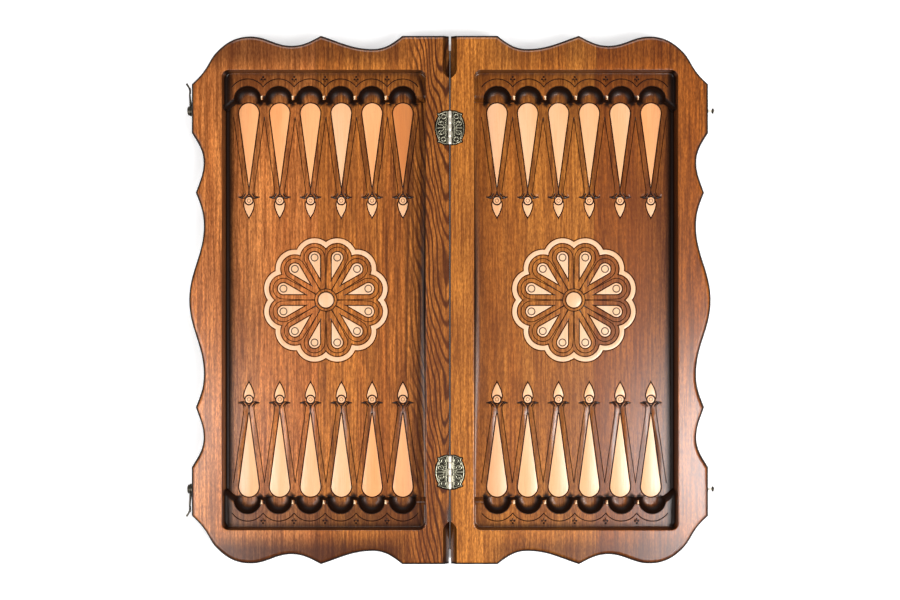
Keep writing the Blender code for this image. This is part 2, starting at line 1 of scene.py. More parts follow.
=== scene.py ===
"""Folding backgammon board, lying open: the visible pieces, their materials, the light and the camera.

Lengths are in millimetres until a mesh is made. On a tray, u runs out from the hinge line and v along it.
"""

import math

import bmesh
import bpy
import numpy as np
from mathutils import Matrix, Vector
from mathutils.geometry import delaunay_2d_cdt


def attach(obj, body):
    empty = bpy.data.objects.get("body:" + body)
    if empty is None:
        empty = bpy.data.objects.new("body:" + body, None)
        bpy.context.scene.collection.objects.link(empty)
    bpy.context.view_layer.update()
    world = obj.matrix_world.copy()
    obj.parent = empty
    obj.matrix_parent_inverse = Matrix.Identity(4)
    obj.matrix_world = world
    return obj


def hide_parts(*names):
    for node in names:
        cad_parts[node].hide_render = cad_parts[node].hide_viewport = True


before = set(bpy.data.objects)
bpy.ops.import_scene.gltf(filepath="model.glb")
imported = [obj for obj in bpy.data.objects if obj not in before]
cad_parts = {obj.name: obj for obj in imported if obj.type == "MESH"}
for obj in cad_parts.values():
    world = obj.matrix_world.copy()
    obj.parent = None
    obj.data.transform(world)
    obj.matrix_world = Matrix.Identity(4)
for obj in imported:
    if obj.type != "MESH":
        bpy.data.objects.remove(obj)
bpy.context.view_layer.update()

MM = 0.001
SIDES = {"left": -1, "right": 1}

# Meshes: how near points have to be to become one, in millimetres and then in metres
FILL_TOLERANCE = 0.001
WELD = 0.000002
SLIVER = 0.000001

# Trays; a knot of the edge is (u, v, heading on arriving, heading on leaving)
END = 300.0
THICKNESS = 38.0
WAIST = THICKNESS / 2
FIELD = 10.0
HEADER = 20.0
ROUND_OVER = 4.6
HINGE_FACE = 0.15
HINGE_ROUND = 0.7
EDGE_KNOTS = (
    (-20.0, 300.0, 0, 0),
    (54.0, 300.0, 0, -38),
    (87.5, 285.0, 0, 0),
    (146.4, 300.0, 18, -28),
    (180.0, 288.7, 0, 0),
    (226.0, 299.2, 0, 0),
    (263.5, 282.8, -45, -45),
    (273.7, 268.6, -61, -61),
    (293.0, 245.0, -42, -90),
    (293.0, 189.5, -90, -121),
    (279.7, 156.0, -90, -90),
    (288.5, 121.6, -72, -112),
    (279.4, 84.0, -90, -90),
    (296.0, 0.0, -90, -90),
)
STRAIGHT_STRETCHES = (0, 8)
CURVE_STEPS = 16
# Painted shade on the trays' sides
SIDE_SHADE = 0.45
SUPPORT = 0.4
SHARP = 0.5
GRID = 10.0

# Pocket
POCKET_INNER = 27.5
POCKET_OUTER = 258.5
POCKET_END = 260.6
POCKET_CORNER = 8.0
POCKET_MIDDLE = (POCKET_INNER + POCKET_OUTER) / 2
POCKET_LIP = 0.8
WALL_RUN = 0.25
WALL_COVE = 1.6
OUTER_WALL_COVE = 3.8

# Columns
COLUMNS = 6
PITCH = 35.5
HALF_PITCH = PITCH / 2
FIRST_COLUMN = POCKET_MIDDLE - PITCH * (COLUMNS - 1) / 2
POINT_ROUND = 11.4
POINT_END = 226.8
POINT_TIP = 131.0

# Headers
SCOOP_MIDDLE = 229.3
SCOOP_RADIUS = 15.5
SCOOP_COVE = 9.5
TONGUE_TOP = 234.6
TONGUE_RUN = 7.4
TONGUE_START = 243.0
TONGUE_WIDTH = 13.0
TONGUE_REACH = 10.0
# A pale painted glint beside each web tip between scoops, standing in for a highlight
GLINT_OUT = 1.9
GLINT_PLACE = 231.8
GLINT_HALF_WIDTH = 0.95
GLINT_HALF_LENGTH = 2.0
ARCH_MIDDLE = 231.6
ARCH_RADIUS = 21.7
STAMP_PLACE = 253.6

# How much darker the wood is, 0 to 1, and where: painted shade in scoops, on fronts, walls, edges, notches
# and gaps; -1 a painted glint
HEADER_BURN = 0.27
FRONT_SHADE = 0.35
SCOOP_SHADE = 0.38
SHEATH_BURN = 0.28
WALL_SHADE = 0.35
FRONT_NEAR_HINGE = 38.7
NEAR_HINGE_SHADE = 0.45
FRONT_AT_WALL = 246.0
# Painted shade along the trays' rounded edges
EDGE_SHADE_REACH = 3.3
EDGE_SHADE_FADE = 1.5
NOTCH_SHADE = 0.6
LIP_SHADE = 0.35
PAINTED_GLINT = -1.0

# Rosette
LOBES = 12
LOBE_CENTRE = 50.7
RING_OUTER_LOBE = 22.1
RING_INNER_LOBE = 16.9
LOBE_LINE = 12.0
PETAL_ROUND = 6.4
PETAL_BEAD = 4.0
DISC = 8.7
DISC_RING = 12.9

# The underside's lines, as (distance in from the edge, half width), and its rosette
DECOR_LINES = ((14.4, 0.9), (18.0, 0.5))
DECOR_DEPTH = 0.9
DECOR_CIRCLES = (88.0, 84.0, 20.0)
DECOR_PETALS = (6.4, 9.5, 12.6)
DECOR_SCALE = 1.22
DECOR_HUB = 21

# Inlays and engraved lines
INLAY_TOP = FIELD + 0.06
INLAY_FLOOR = FIELD - 1.5
INLAY_EASE = 0.35
GAP_OUT = 0.65
GAP_HALF = 0.75
GAP_DEPTH = 1.0
LINE_HALF = 0.60
LINE_DEPTH = 0.8
FINE_HALF = 0.45
FINE_DEPTH = 0.5
BEAD_PLACE = 114.6
WARM_POINTS = (7, 8, 13, 14, 15, 17, 24)
AMBER_POINTS = (18,)
BEAD = 4.0

# End notches on the hinge line
NOTCH_START = 250.0
NOTCH_TAPER = 11.0
NOTCH_RADIUS = 7.85
SLIT_START = 284.0
SLIT_HALF = 1.2

# Hinges
HINGE_PLACES = {"upper": 195.0, "lower": -195.0}
HINGE_AXIS = 38.4
LEAF_TOP = 37.2
LEAF_FLOOR = 35.8
LEAF_INNER = 3.0
MORTISE_FLOOR = 35.5
MORTISE_GAP = 1.1
BARREL = 2.1
BARREL_HALF = 18.8
KNUCKLES = 5
KNUCKLE_GAP = 0.3
NAIL_OUT = 7.2
NAIL_ALONG = 12.8

# Hooks, screws and pegs
LATCH_OUT = 293.0
LATCH_PLACES = {"upper": 215.5, "lower": -215.5}
LATCH_HEIGHT = 27.0
HOOK_REACH = 22.8
HOOK_LEAN = 1.3

# Turned profiles in the trays' sides, as (radius, distance out from the side)
SCREW = (
    *((0.0, 6.3), (2.4, 6.25), (4.2, 5.8), (5.2, 5.0), (5.3, 4.3), (4.9, 3.8), (1.5, 3.8), (1.5, 1.7)),
    *((5.2, 1.6), (5.6, 1.0), (5.6, 0.2), (1.5, 0.2), (1.5, -10.0), (0.0, -11.0)),
)
PEG_HEAD = (
    *((0.0, 8.6), (0.7, 8.5), (1.0, 8.0), (2.3, 7.8), (3.0, 7.3)),
    *((3.1, 6.3), (2.6, 5.7), (1.2, 5.3), (0.0, 5.3)),
)
PEG_COLLAR = ((1.2, 1.3), (2.6, 1.3), (2.9, 1.0), (2.9, 0.1), (1.2, 0.1), (1.2, 1.3))
PEG_SHANK = ((0.0, 5.6), (1.15, 5.6), (1.0, 4.6), (1.0, -10.0), (0.0, -11.0))

# Where the wood's tones change, in metres: heights, places along Y and out from the hinge line
BELOW_RIM = (0.0362, 0.0374)
ON_RIM = (0.0365, 0.0372)
ABOVE_BASE = (0.004, 0.007)
LEDGE_EDGE = (0.228, 0.236)
FAR_RAIL = (0.256, 0.280)
NEAR_RAIL = (-0.284, -0.258)
HINGE_STILE = (0.027, 0.029)

# Arched growth rings of the left tray: rings in a metre, their middle line and their sway in rings
ARCH_RINGS_ACROSS = 190.0
ARCH_RINGS_ALONG = 36.0
ARCH_CENTRE = -0.006
ARCH_SWAY = 6.0

# Stage, in metres, and the camera's sensor and lens in millimetres
FLOOR_REACH = 6.0
FLOOR_LEVEL = -0.0005
SENSOR = 36
LENS = 53.0
CAMERA_PLACE = (0.0001, 0.0, 1.538)


# ---------------------------------------------------------------- lines in a plane


def bend(start, end, leave, arrive, steps=CURVE_STEPS):
    """Points on a smooth curve between two places, given its headings in degrees at both ends."""
    start = np.array(start)
    end = np.array(end)
    reach = 0.38 * np.linalg.norm(end - start)
    leave = math.radians(leave)
    arrive = math.radians(arrive)
    near = start + reach * np.array((math.cos(leave), math.sin(leave)))
    far = end - reach * np.array((math.cos(arrive), math.sin(arrive)))
    t = np.linspace(0, 1, steps, endpoint=False)[:, None]
    rest = 1 - t
    return start * rest**3 + near * 3 * rest**2 * t + far * 3 * rest * t**2 + end * t**3


def arc(centre, radius, start, end, step=1.3):
    """Points on an arc, with both ends, from one angle in degrees to another."""
    turn = math.radians(end - start)
    count = max(4, math.ceil(abs(turn) * radius / step))
    angles = math.radians(start) + turn * np.arange(count + 1) / count
    across = centre[0] + radius * np.cos(angles)
    along = centre[1] + radius * np.sin(angles)
    return np.column_stack((across, along))


def closed(line):
    """The line with its first point repeated at its end."""
    return np.vstack((line, line[:1]))


def circle(centre, radius, end, step=1.3):
    """A closed circle whose points run from 0 to an end angle in degrees."""
    return closed(arc(centre, radius, 0, end, step))


def smooth_line(knots, steps=5):
    """A smooth line through a few knots."""
    knots = np.array(knots, float)
    ends = np.vstack((2 * knots[0] - knots[1], knots, 2 * knots[-1] - knots[-2]))
    points = []
    for index in range(1, len(ends) - 2):
        before, start, end, after = ends[index - 1 : index + 3]
        for t in np.linspace(0, 1, steps, endpoint=False):
            ease = 2 * start + (end - before) * t
            ease = ease + (2 * before - 5 * start + 4 * end - after) * t**2
            ease = ease + (3 * start - before - 3 * end + after) * t**3
            points.append(ease / 2)
    points.append(knots[-1])
    return np.array(points)


def beside(line, offset):
    """The line moved by an offset to the left of its own direction; sharp outer corners are cut off."""
    is_closed = np.allclose(line[0], line[-1])
    step = np.diff(line, axis=0)
    step = step / np.linalg.norm(step, axis=1)[:, None]
    normal = np.column_stack((-step[:, 1], step[:, 0]))
    before = np.vstack((normal[-1:] if is_closed else normal[:1], normal))
    after = np.vstack((normal, normal[:1] if is_closed else normal[-1:]))
    middle = before + after
    squared = np.sum(middle * before, axis=1)
    turn = before[:, 0] * after[:, 1] - before[:, 1] * after[:, 0]
    moved = []
    for index, place in enumerate(line):
        if squared[index] < SHARP and turn[index] * offset < 0:
            moved += [place + offset * before[index], place + offset * after[index]]
        else:
            moved.append(place + offset * middle[index] / max(squared[index], 0.02))
    return closed(moved) if is_closed and not np.allclose(moved[0], moved[-1]) else np.array(moved)


def around(line, offset):
    """The lines that run round a line at an offset: two for a closed line, else one with round ends."""
    left = beside(line, offset)
    right = beside(line, -offset)
    if np.allclose(line[0], line[-1]):
        return [left, right]
    caps = []
    for end, step in ((line[-1], line[-1] - line[-2]), (line[0], line[0] - line[1])):
        heading = math.atan2(step[1], step[0])
        angles = heading + np.radians((60, 20, -20, -60))
        caps.append(end + offset * np.column_stack((np.cos(angles), np.sin(angles))))
    return [closed(np.vstack((left, caps[0], right[::-1], caps[1])))]


def turned(line, angle, middle):
    """The line turned by an angle in degrees about the origin, then moved to a middle."""
    cosine = math.cos(math.radians(angle))
    sine = math.sin(math.radians(angle))
    spin = np.array(((cosine, sine), (-sine, cosine)))
    return line @ spin + np.array(middle)


def distance(places, line):
    """How far each place is from the nearest stretch of a line."""
    best = np.full(len(places), 1e9)
    for start, end in zip(line[:-1], line[1:]):
        span = end - start
        length = span @ span
        if length < 1e-12:
            continue
        share = np.clip((places - start) @ span / length, 0, 1)
        gap = places - start - share[:, None] * span
        best = np.minimum(best, np.sqrt(np.sum(gap * gap, axis=1)))
    return best


def inside(places, border):
    """Whether each place is inside a closed border."""
    within = np.zeros(len(places), bool)
    for start, end in zip(border[:-1], border[1:]):
        crosses = (start[1] > places[:, 1]) != (end[1] > places[:, 1])
        if not crosses.any():
            continue
        rise = end[1] - start[1]
        meet = start[0] + (places[:, 1] - start[1]) / rise * (end[0] - start[0])
        within ^= crosses & (places[:, 0] < meet)
    return within


# ---------------------------------------------------------------- meshes


def fill(border, lines, hole=None):
    """Flat triangles inside a closed border, and outside a hole, with edges along every line."""
    places = []
    edges = []
    for line in [border, *lines]:
        first = len(places)
        places += [Vector(place) for place in line]
        edges += [(index, index + 1) for index in range(first, len(places) - 1)]
    made = delaunay_2d_cdt(places, edges, [], 0, FILL_TOLERANCE)
    flat = np.array([tuple(place) for place in made[0]])
    faces = np.array(made[2])
    middles = flat[faces].mean(axis=1)
    within = inside(middles, border)
    if hole is not None:
        within &= ~inside(middles, hole)
    faces = faces[within]
    kept, faces = np.unique(faces, return_inverse=True)
    return flat[kept], faces.reshape(-1, 3)


def rim_edges(faces):
    """The edges that belong to a single triangle, in that triangle's direction."""
    edges = np.vstack((faces[:, (0, 1)], faces[:, (1, 2)], faces[:, (2, 0)]))
    order = np.sort(edges, axis=1)
    _, places, counts = np.unique(order, axis=0, return_index=True, return_counts=True)
    return edges[places[counts == 1]]


def rim_loop(flat, faces):
    """The closed outline of a filled border, with every point that its triangles use."""
    following = dict(rim_edges(faces).tolist())
    start = next(iter(following))
    loop = [start]
    while following[loop[-1]] != start:
        loop.append(following[loop[-1]])
    return closed(flat[loop])


def skirt(points, faces, level, skip=None):
    """Quads from the rim of a sheet down to a level, as points and faces to add to it."""
    edges = rim_edges(faces)
    if skip is not None:
        edges = edges[~skip(points[edges[:, 0]], points[edges[:, 1]])]
    used, lower = np.unique(edges, return_inverse=True)
    lower = lower.reshape(-1, 2) + len(points)
    foot = points[used].copy()
    foot[:, 2] = level
    quads = np.column_stack((edges[:, 1], edges[:, 0], lower[:, 0], lower[:, 1]))
    return foot, quads, used


class Sheet:
    """Points, faces, two tones for each point (how deep in a cut; how dark, mostly painted shade, below 0 a
    painted glint) and each face's skin.
    """

    def __init__(self, points, faces, tones=None, skins=None):
        self.points = points
        self.faces = [tuple(face) for face in faces]
        self.tones = np.zeros((len(points), 2)) if tones is None else tones
        self.skins = [0] * len(self.faces) if skins is None else skins

    def join(self, other):
        shift = len(self.points)
        self.points = np.vstack((self.points, other.points))
        self.faces += [tuple(index + shift for index in face) for face in other.faces]
        self.tones = np.vstack((self.tones, other.tones))
        self.skins = self.skins + other.skins
        return self

    def mirrored(self, axis):
        points = self.points.copy()
        points[:, axis] *= -1
        return Sheet(points, [face[::-1] for face in self.faces], self.tones.copy(), list(self.skins))

    def with_points(self, points):
        return Sheet(points, self.faces, self.tones.copy(), list(self.skins))

    def moved(self, offset):
        return self.with_points(self.points + np.array(offset))

    def placed(self, matrix):
        grid = np.array(matrix)
        return self.with_points(self.points @ grid[:3, :3].T + grid[:3, 3])

    def skinned(self, skin):
        return Sheet(self.points, self.faces, self.tones, [skin] * len(self.faces))


def joined(sheets):
    """One sheet from several: the others are joined to the first."""
    whole, *others = sheets
    for other in others:
        whole.join(other)
    return whole


def hung_sheet(flat, triangles, height, tones, level, side_shade=0.0, skip=None):
    """A sheet at the given heights, with sides down, or up, to a level; the sides get a painted shade."""
    points = np.column_stack((flat, height))
    foot, quads, used = skirt(points, triangles, level, skip)
    foot_tones = np.zeros((len(used), 2))
    foot_tones[:, 1] = side_shade
    points = np.vstack((points, foot))
    return Sheet(points, list(triangles) + list(quads), np.vstack((tones, foot_tones)))


def make_object(name, sheet, materials, crease=32):
    """An object from a sheet in millimetres, its doubled points merged and its edges smoothed."""
    mesh = bpy.data.meshes.new(name)
    mesh.from_pydata((sheet.points * MM).tolist(), [], sheet.faces)
    mesh.polygons.foreach_set("material_index", sheet.skins)
    for index, label in enumerate(("cut", "tone_and_painted_light")):
        layer = mesh.attributes.new(label, "FLOAT", "POINT")
        layer.data.foreach_set("value", sheet.tones[:, index].astype(np.float32))
    work = bmesh.new()
    work.from_mesh(mesh)
    bmesh.ops.remove_doubles(work, verts=work.verts, dist=WELD)
    bmesh.ops.dissolve_degenerate(work, edges=work.edges, dist=SLIVER)
    work.to_mesh(mesh)
    work.free()
    mesh.shade_smooth()
    mesh.set_sharp_from_angle(angle=math.radians(crease))
    for material in materials:
        mesh.materials.append(material)
    thing = bpy.data.objects.new(name, mesh)
    bpy.context.scene.collection.objects.link(thing)
    return thing


def slab(border, lines, height, level, tones=None, hole=None):
    """A closed solid: a shaped top over a border, straight sides and a flat underside."""
    flat, triangles = fill(border, lines, hole)
    blank = np.zeros((len(flat), 2))
    top = hung_sheet(flat, triangles, height(flat), blank if tones is None else tones(flat), level)
    under = np.column_stack((flat, np.full(len(flat), level)))
    return top.join(Sheet(under, triangles[:, ::-1], blank))


def lathe(profile, steps=32):
    """A solid turned about Z from (radius, height) points that run down its outer side."""
    angles = np.arange(steps) * 2 * math.pi / steps
    points = []
    faces = []
    for radius, height in profile:
        for angle in angles:
            points.append((radius * math.cos(angle), radius * math.sin(angle), height))
    for ring in range(len(profile) - 1):
        for step in range(steps):
            after = (step + 1) % steps
            upper = ring * steps
            lower = upper + steps
            faces.append((upper + step, lower + step, lower + after, upper + after))
    return Sheet(np.array(points), faces)


# ---------------------------------------------------------------- engraving


class Engraving:
    """Engraved lines, each a V groove or, with a negative depth, a rounded ridge."""

    def __init__(self):
        self.lines = []

    def add(self, line, half, depth=LINE_DEPTH):
        self.lines.append((np.array(line, float), half, depth))

    def guides(self):
        """The lines that a mesh has to follow: each groove's two edges and its bottom."""
        lines = []
        for line, half, depth in self.lines:
            lines.append(line)
            for share in (1.0, 0.6) if depth < 0 else (1.0,):
                lines += around(line, half * share)
        return lines

    def at(self, places):
        """How deep each place is cut, and how far into a groove it is, from 0 to 1."""
        depth = np.zeros(len(places))
        share = np.zeros(len(places))
        for line, half, deep in self.lines:
            low = line.min(axis=0) - half
            high = line.max(axis=0) + half
            near = np.flatnonzero(((places > low) & (places < high)).all(axis=1))
            if len(near) == 0:
                continue
            part = np.clip(1 - distance(places[near], line) / half, 0, 1)
            if deep < 0:
                rise = -deep * np.sqrt(1 - (1 - part) ** 2)
                depth[near] = np.minimum(depth[near], -rise)
            else:
                depth[near] = np.maximum(depth[near], deep * part)
                share[near] = np.maximum(share[near], part)
        return depth, share


def drop_line(grow=0.0):
    """A point's drop outline about u = 0, from its tip round and back, moved out by grow."""
    centre = POINT_END - POINT_ROUND
    lean = math.degrees(math.asin(POINT_ROUND / (centre - POINT_TIP)))
    bulb = arc((0, centre), POINT_ROUND, -lean, 180 + lean)
    line = np.vstack(((0.0, POINT_TIP), bulb, (0.0, POINT_TIP)))
    return beside(line, -grow) if grow else line


def petal_line(round_radius):
    """A petal's outline about the rosette's middle: a round end and two straight sides to a tip."""
    half = 180 / LOBES
    tip = LOBE_CENTRE - round_radius / math.sin(math.radians(half))
    end = arc((LOBE_CENTRE, 0), round_radius, -90 - half, 90 + half, 1.0)
    return np.vstack(((tip, 0.0), end, (tip, 0.0)))


def spear_line(grow=0.0):
    """A spearhead's outline about u = 0, its tip towards the rosette, cut back round its bead."""
    bite = BEAD + 1.5
    start = math.degrees(math.asin(-1.9 / bite))
    flank = smooth_line(((5.3, 112.9), (5.5, 109.6), (4.4, 104.6), (2.2, 99.4), (0.0, 95.5)))
    other = flank[::-1] * (-1, 1)
    top = arc((0, BEAD_PLACE), bite, 180 - start, 360 + start, 0.8)
    line = closed(np.vstack((flank[:-1], other, top)))
    return beside(line, grow) if grow else line


def scallop_line(lobe_radius):
    """A closed line of twelve round lobes about the rosette's middle."""
    half = math.pi / LOBES
    half_chord = LOBE_CENTRE * math.sin(half)
    cusp = LOBE_CENTRE * math.cos(half) + math.sqrt(lobe_radius**2 - half_chord**2)
    corner = Vector((cusp * math.cos(half) - LOBE_CENTRE, cusp * math.sin(half)))
    opening = math.degrees(math.atan2(corner.y, corner.x))
    lobe = arc((LOBE_CENTRE, 0), lobe_radius, -opening, opening)
    lobes = [turned(lobe, (k + 0.5) * 360 / LOBES, (0, 0))[:-1] for k in range(LOBES)]
    return closed(np.vstack(lobes))


def column_places():
    """How far each column's middle is from the hinge line."""
    return [FIRST_COLUMN + PITCH * column for column in range(COLUMNS)]


def sheath_line():
    """One side of a point's sheath about u = 0: from the guard's tip to where neighbours meet."""
    waist = smooth_line(((11.2, 118.9), (8.2, 119.6), (6.5, 121.8), (5.8, 125.4), (6.4, 131.0)))
    return np.vstack((waist, (HALF_PITCH, 210.8)))


def sheath_border(u):
    """The closed outline of the darker band round a point."""
    side = np.vstack((sheath_line(), (HALF_PITCH, 228.0)))
    return closed(np.vstack((side, side[::-1] * (-1, 1)))) + (u, 0.0)


def engrave_column(cuts, u):
    """The lines round one point: its outline, sheath, guard, bead and spearhead."""
    shift = np.array((u, 0.0))
    centre_line = np.array(((0.0, POINT_TIP + 1.0), (0.0, 122.6)))
    guard_knots = ((11.4, 118.8), (9.4, 117.7), (7.0, 117.3), (4.4, 118.0), (2.4, 120.0), (0, 122.8))
    guard = smooth_line(guard_knots)
    sheath = sheath_line()
    wing = smooth_line(((10.4, 118.6), (7.6, 118.5), (5.7, 119.9), (4.2, 122.4)))
    cuts.add(drop_line(GAP_OUT) + shift, GAP_HALF, GAP_DEPTH)
    cuts.add(centre_line + shift, FINE_HALF + 0.1)
    cuts.add(np.array(((0, 126.0), (0, 121.6))) + shift, 1.1)
    for flip in (1, -1):
        cuts.add(guard * (flip, 1) + shift, LINE_HALF + 0.2)
        cuts.add(wing * (flip, 1) + shift, 0.95)
        cuts.add(sheath * (flip, 1) + shift, FINE_HALF + 0.05)
        tip = np.array(((11.9, 118.7), (10.9, 118.5)))
        cuts.add(tip * (flip, 1) + shift, 0.95)
    cuts.add(circle((0, BEAD_PLACE), BEAD + 0.6, 345, 0.9) + shift, 0.85, GAP_DEPTH)
    cuts.add(circle((0, BEAD_PLACE), BEAD * 0.5, 330, 0.9) + shift, 1.0, GAP_DEPTH)
    cuts.add(spear_line(0.6) + shift, 0.7, GAP_DEPTH)
    cuts.add(np.array(((0, 94.6), (0, 93.2))) + shift, 0.6)


def engrave_rosette(cuts, middle):
    """The lines of one rosette: round the ring, the lobes, the petals and the disc."""
    for line in (scallop_line(RING_OUTER_LOBE + 0.75), scallop_line(RING_INNER_LOBE - 0.75)):
        cuts.add(line + middle, 0.55, GAP_DEPTH)
    for lobe in range(LOBES):
        heading = (lobe + 0.5) * 360 / LOBES
        petal = beside(petal_line(PETAL_ROUND), -GAP_OUT)
        cuts.add(turned(petal, heading, middle), GAP_HALF - 0.1, GAP_DEPTH)
        outer = petal_line(LOBE_LINE)
        outer = outer[np.hypot(outer[:, 0], outer[:, 1]) > DISC_RING]
        sides = []
        for near, far in ((outer[0], outer[1]), (outer[-1], outer[-2])):
            toward = (near - far) / np.linalg.norm(near - far)
            sides.append(near + toward * max(0.0, np.linalg.norm(near) - DISC_RING))
        outer = np.vstack((sides[0], outer, sides[1]))
        cuts.add(turned(outer, heading, middle), FINE_HALF + 0.05)
        bead = circle((LOBE_CENTRE, 0), PETAL_BEAD, 345, 0.9)
        cuts.add(turned(bead, heading, middle), 1.5, GAP_DEPTH + 0.3)
        dot = np.array(((25.2, 0.0), (22.4, 0.0)))
        cuts.add(turned(dot, heading, middle), 0.75)
    cuts.add(circle(middle, DISC + 0.7, 354), 0.8, GAP_DEPTH)
    cuts.add(circle(middle, DISC_RING, 356), 0.6)


def engrave_header(cuts):
    """The arches round the scoops and a small three-lobed stamp between each pair."""
    reach = math.degrees(math.asin(HALF_PITCH / ARCH_RADIUS))
    for u in column_places():
        cuts.add(arc((u, ARCH_MIDDLE), ARCH_RADIUS, 90 - reach, 90 + reach), 0.65)
    for u in column_places()[:-1]:
        middle = u + HALF_PITCH
        for across, along in ((0, 2.0), (-1.9, -0.8), (1.9, -0.8)):
            centre = (middle + across, STAMP_PLACE + along)
            cuts.add(circle(centre, 0.45, 300, 0.5), 0.95)
        stem = np.array(((middle, STAMP_PLACE - 1.0), (middle, STAMP_PLACE - 3.6)))
        cuts.add(stem, 0.6)


# ---------------------------------------------------------------- trays


def tray_edge():
    """The wavy edge of a tray's upper half, from the hinge line round to its widest place."""
    parts = []
    for index in range(len(EDGE_KNOTS) - 1):
        u, v, _, leave = EDGE_KNOTS[index]
        next_u, next_v, arrive, _ = EDGE_KNOTS[index + 1]
        if index in STRAIGHT_STRETCHES:
            parts.append(np.array(((u, v),)))
        else:
            parts.append(bend((u, v), (next_u, next_v), leave, arrive))
    parts.append(np.array((EDGE_KNOTS[-1][:2],)))
    return np.vstack(parts)


def edge_fall(inset):
    """How far a rounded edge falls below the flat at a distance in from the edge."""
    reach = np.clip(ROUND_OVER - inset, 0, ROUND_OVER)
    return ROUND_OVER - np.sqrt(np.maximum(ROUND_OVER**2 - reach**2, 0))


def pocket_depth(places):
    """How far inside the pocket's rounded outline each place is."""
    middle = np.array((POCKET_MIDDLE, 0))
    half = np.array(((POCKET_OUTER - POCKET_INNER) / 2, POCKET_END)) - POCKET_CORNER
    beyond = np.abs(places - middle) - half
    outer = np.linalg.norm(np.maximum(beyond, 0), axis=1)
    inner = np.minimum(beyond.max(axis=1), 0)
    return POCKET_CORNER - outer - inner


def pocket_line(inset):
    """The upper half of the pocket's outline, moved in by an inset."""
    corner = max(POCKET_CORNER - inset, 0.6)
    inner = POCKET_INNER + inset
    outer = POCKET_OUTER - inset
    end = POCKET_END - inset
    right = arc((outer - corner, end - corner), corner, 0, 90)
    left = arc((inner + corner, end - corner), corner, 90, 180)
    return np.vstack(((outer, -2.0), right, left, (inner, -2.0)))


def outer_share(places):
    """How much each place belongs to the pocket's outer wall rather than to its others, from 0 to 1."""
    nearer = (POCKET_END - places[:, 1]) - (POCKET_OUTER - places[:, 0])
    return np.clip(0.5 + nearer / 10, 0, 1)


def wall_cove(places):
    """The radius of the cove at the foot of the pocket's wall: wide along its outer side."""
    return WALL_COVE + (OUTER_WALL_COVE - WALL_COVE) * outer_share(places)


def tongue_shift(u):
    """How much further a header's front runs towards the field, next to the outer wall."""
    share = np.clip((u - TONGUE_START) / TONGUE_WIDTH, 0, 1)
    return TONGUE_REACH * share**1.4


def floor_height(places):
    """The height of the field and the scooped header."""
    u, v = places[:, 0], places[:, 1]
    drop = HEADER - FIELD
    run = np.clip((TONGUE_TOP - tongue_shift(u) - v) / TONGUE_RUN, 0, 1)
    height = FIELD + drop * np.sqrt(1 - run**2)
    for middle in column_places():
        radius = np.hypot(u - middle, v - SCOOP_MIDDLE)
        share = np.clip((radius - SCOOP_RADIUS + SCOOP_COVE) / SCOOP_COVE, 0, 1)
        bowl = FIELD + drop * (1 - np.sqrt(1 - share**2))
        height = np.where(radius < SCOOP_RADIUS, np.minimum(height, bowl), height)
    return height


def notch_radius(v):
    """The half width and depth of the end notch on the hinge line, at a place along it."""
    share = np.clip((v - NOTCH_START) / NOTCH_TAPER, 0, 1)
    return NOTCH_RADIUS * (2 * share - share**2)


def mortise_line(grow):
    """A hinge leaf's outline, moved out by grow and run past the hinge line."""
    moved = beside(leaf_line(), -grow)
    moved = moved[moved[:, 0] > LEAF_INNER]
    start = (HINGE_FACE - 1.0, BARREL_HALF + grow)
    end = (HINGE_FACE - 1.0, -BARREL_HALF - grow)
    return np.vstack((end, moved, start))


def leaf_line():
    """A hinge leaf's outer outline about its hinge's middle: bowed, with two small ears."""
    bow = arc((-9.1, 0.0), 25.4, 0, 31, 0.8)
    ear = smooth_line(((12.7, 13.1), (12.75, 14.0), (13.3, 14.9), (13.7, 15.7), (12.6, 16.05)), 4)
    crown = smooth_line(((12.6, 16.05), (10.9, 16.4), (9.0, 17.3), (6.4, 18.3), (3.0, 18.8)), 5)
    upper = np.vstack((bow, ear[:-1], crown))
    lower = (upper * (1, -1))[::-1]
    return np.vstack((lower[:-1], upper))


def rim_height(places, edge):
    """The height of a tray's rim, with its rounded edges, the end notch and the hinge mortise."""
    u, v = places[:, 0], places[:, 1]
    height = THICKNESS - edge_fall(distance(places, edge))
    hinge = np.clip(HINGE_FACE + HINGE_ROUND - u, 0, HINGE_ROUND)
    height = height - (HINGE_ROUND - np.sqrt(HINGE_ROUND**2 - hinge**2)) * (v < NOTCH_START)
    radius = notch_radius(v)
    notch = THICKNESS - np.sqrt(np.maximum(radius**2 - u**2, 0))
    height = np.where(u < radius, np.minimum(height, notch), height)
    local = places - (0.0, HINGE_PLACES["upper"])
    near = (np.abs(local[:, 1]) < BARREL_HALF + 3) & (u < 20)
    seat = np.zeros(len(places), bool)
    seat[near] = inside(local[near], closed(mortise_line(MORTISE_GAP + 0.1)))
    height = np.where(seat, MORTISE_FLOOR, height)
    lip = np.clip(POCKET_LIP + pocket_depth(places), 0, POCKET_LIP)
    return height - (POCKET_LIP - np.sqrt(POCKET_LIP**2 - lip**2))


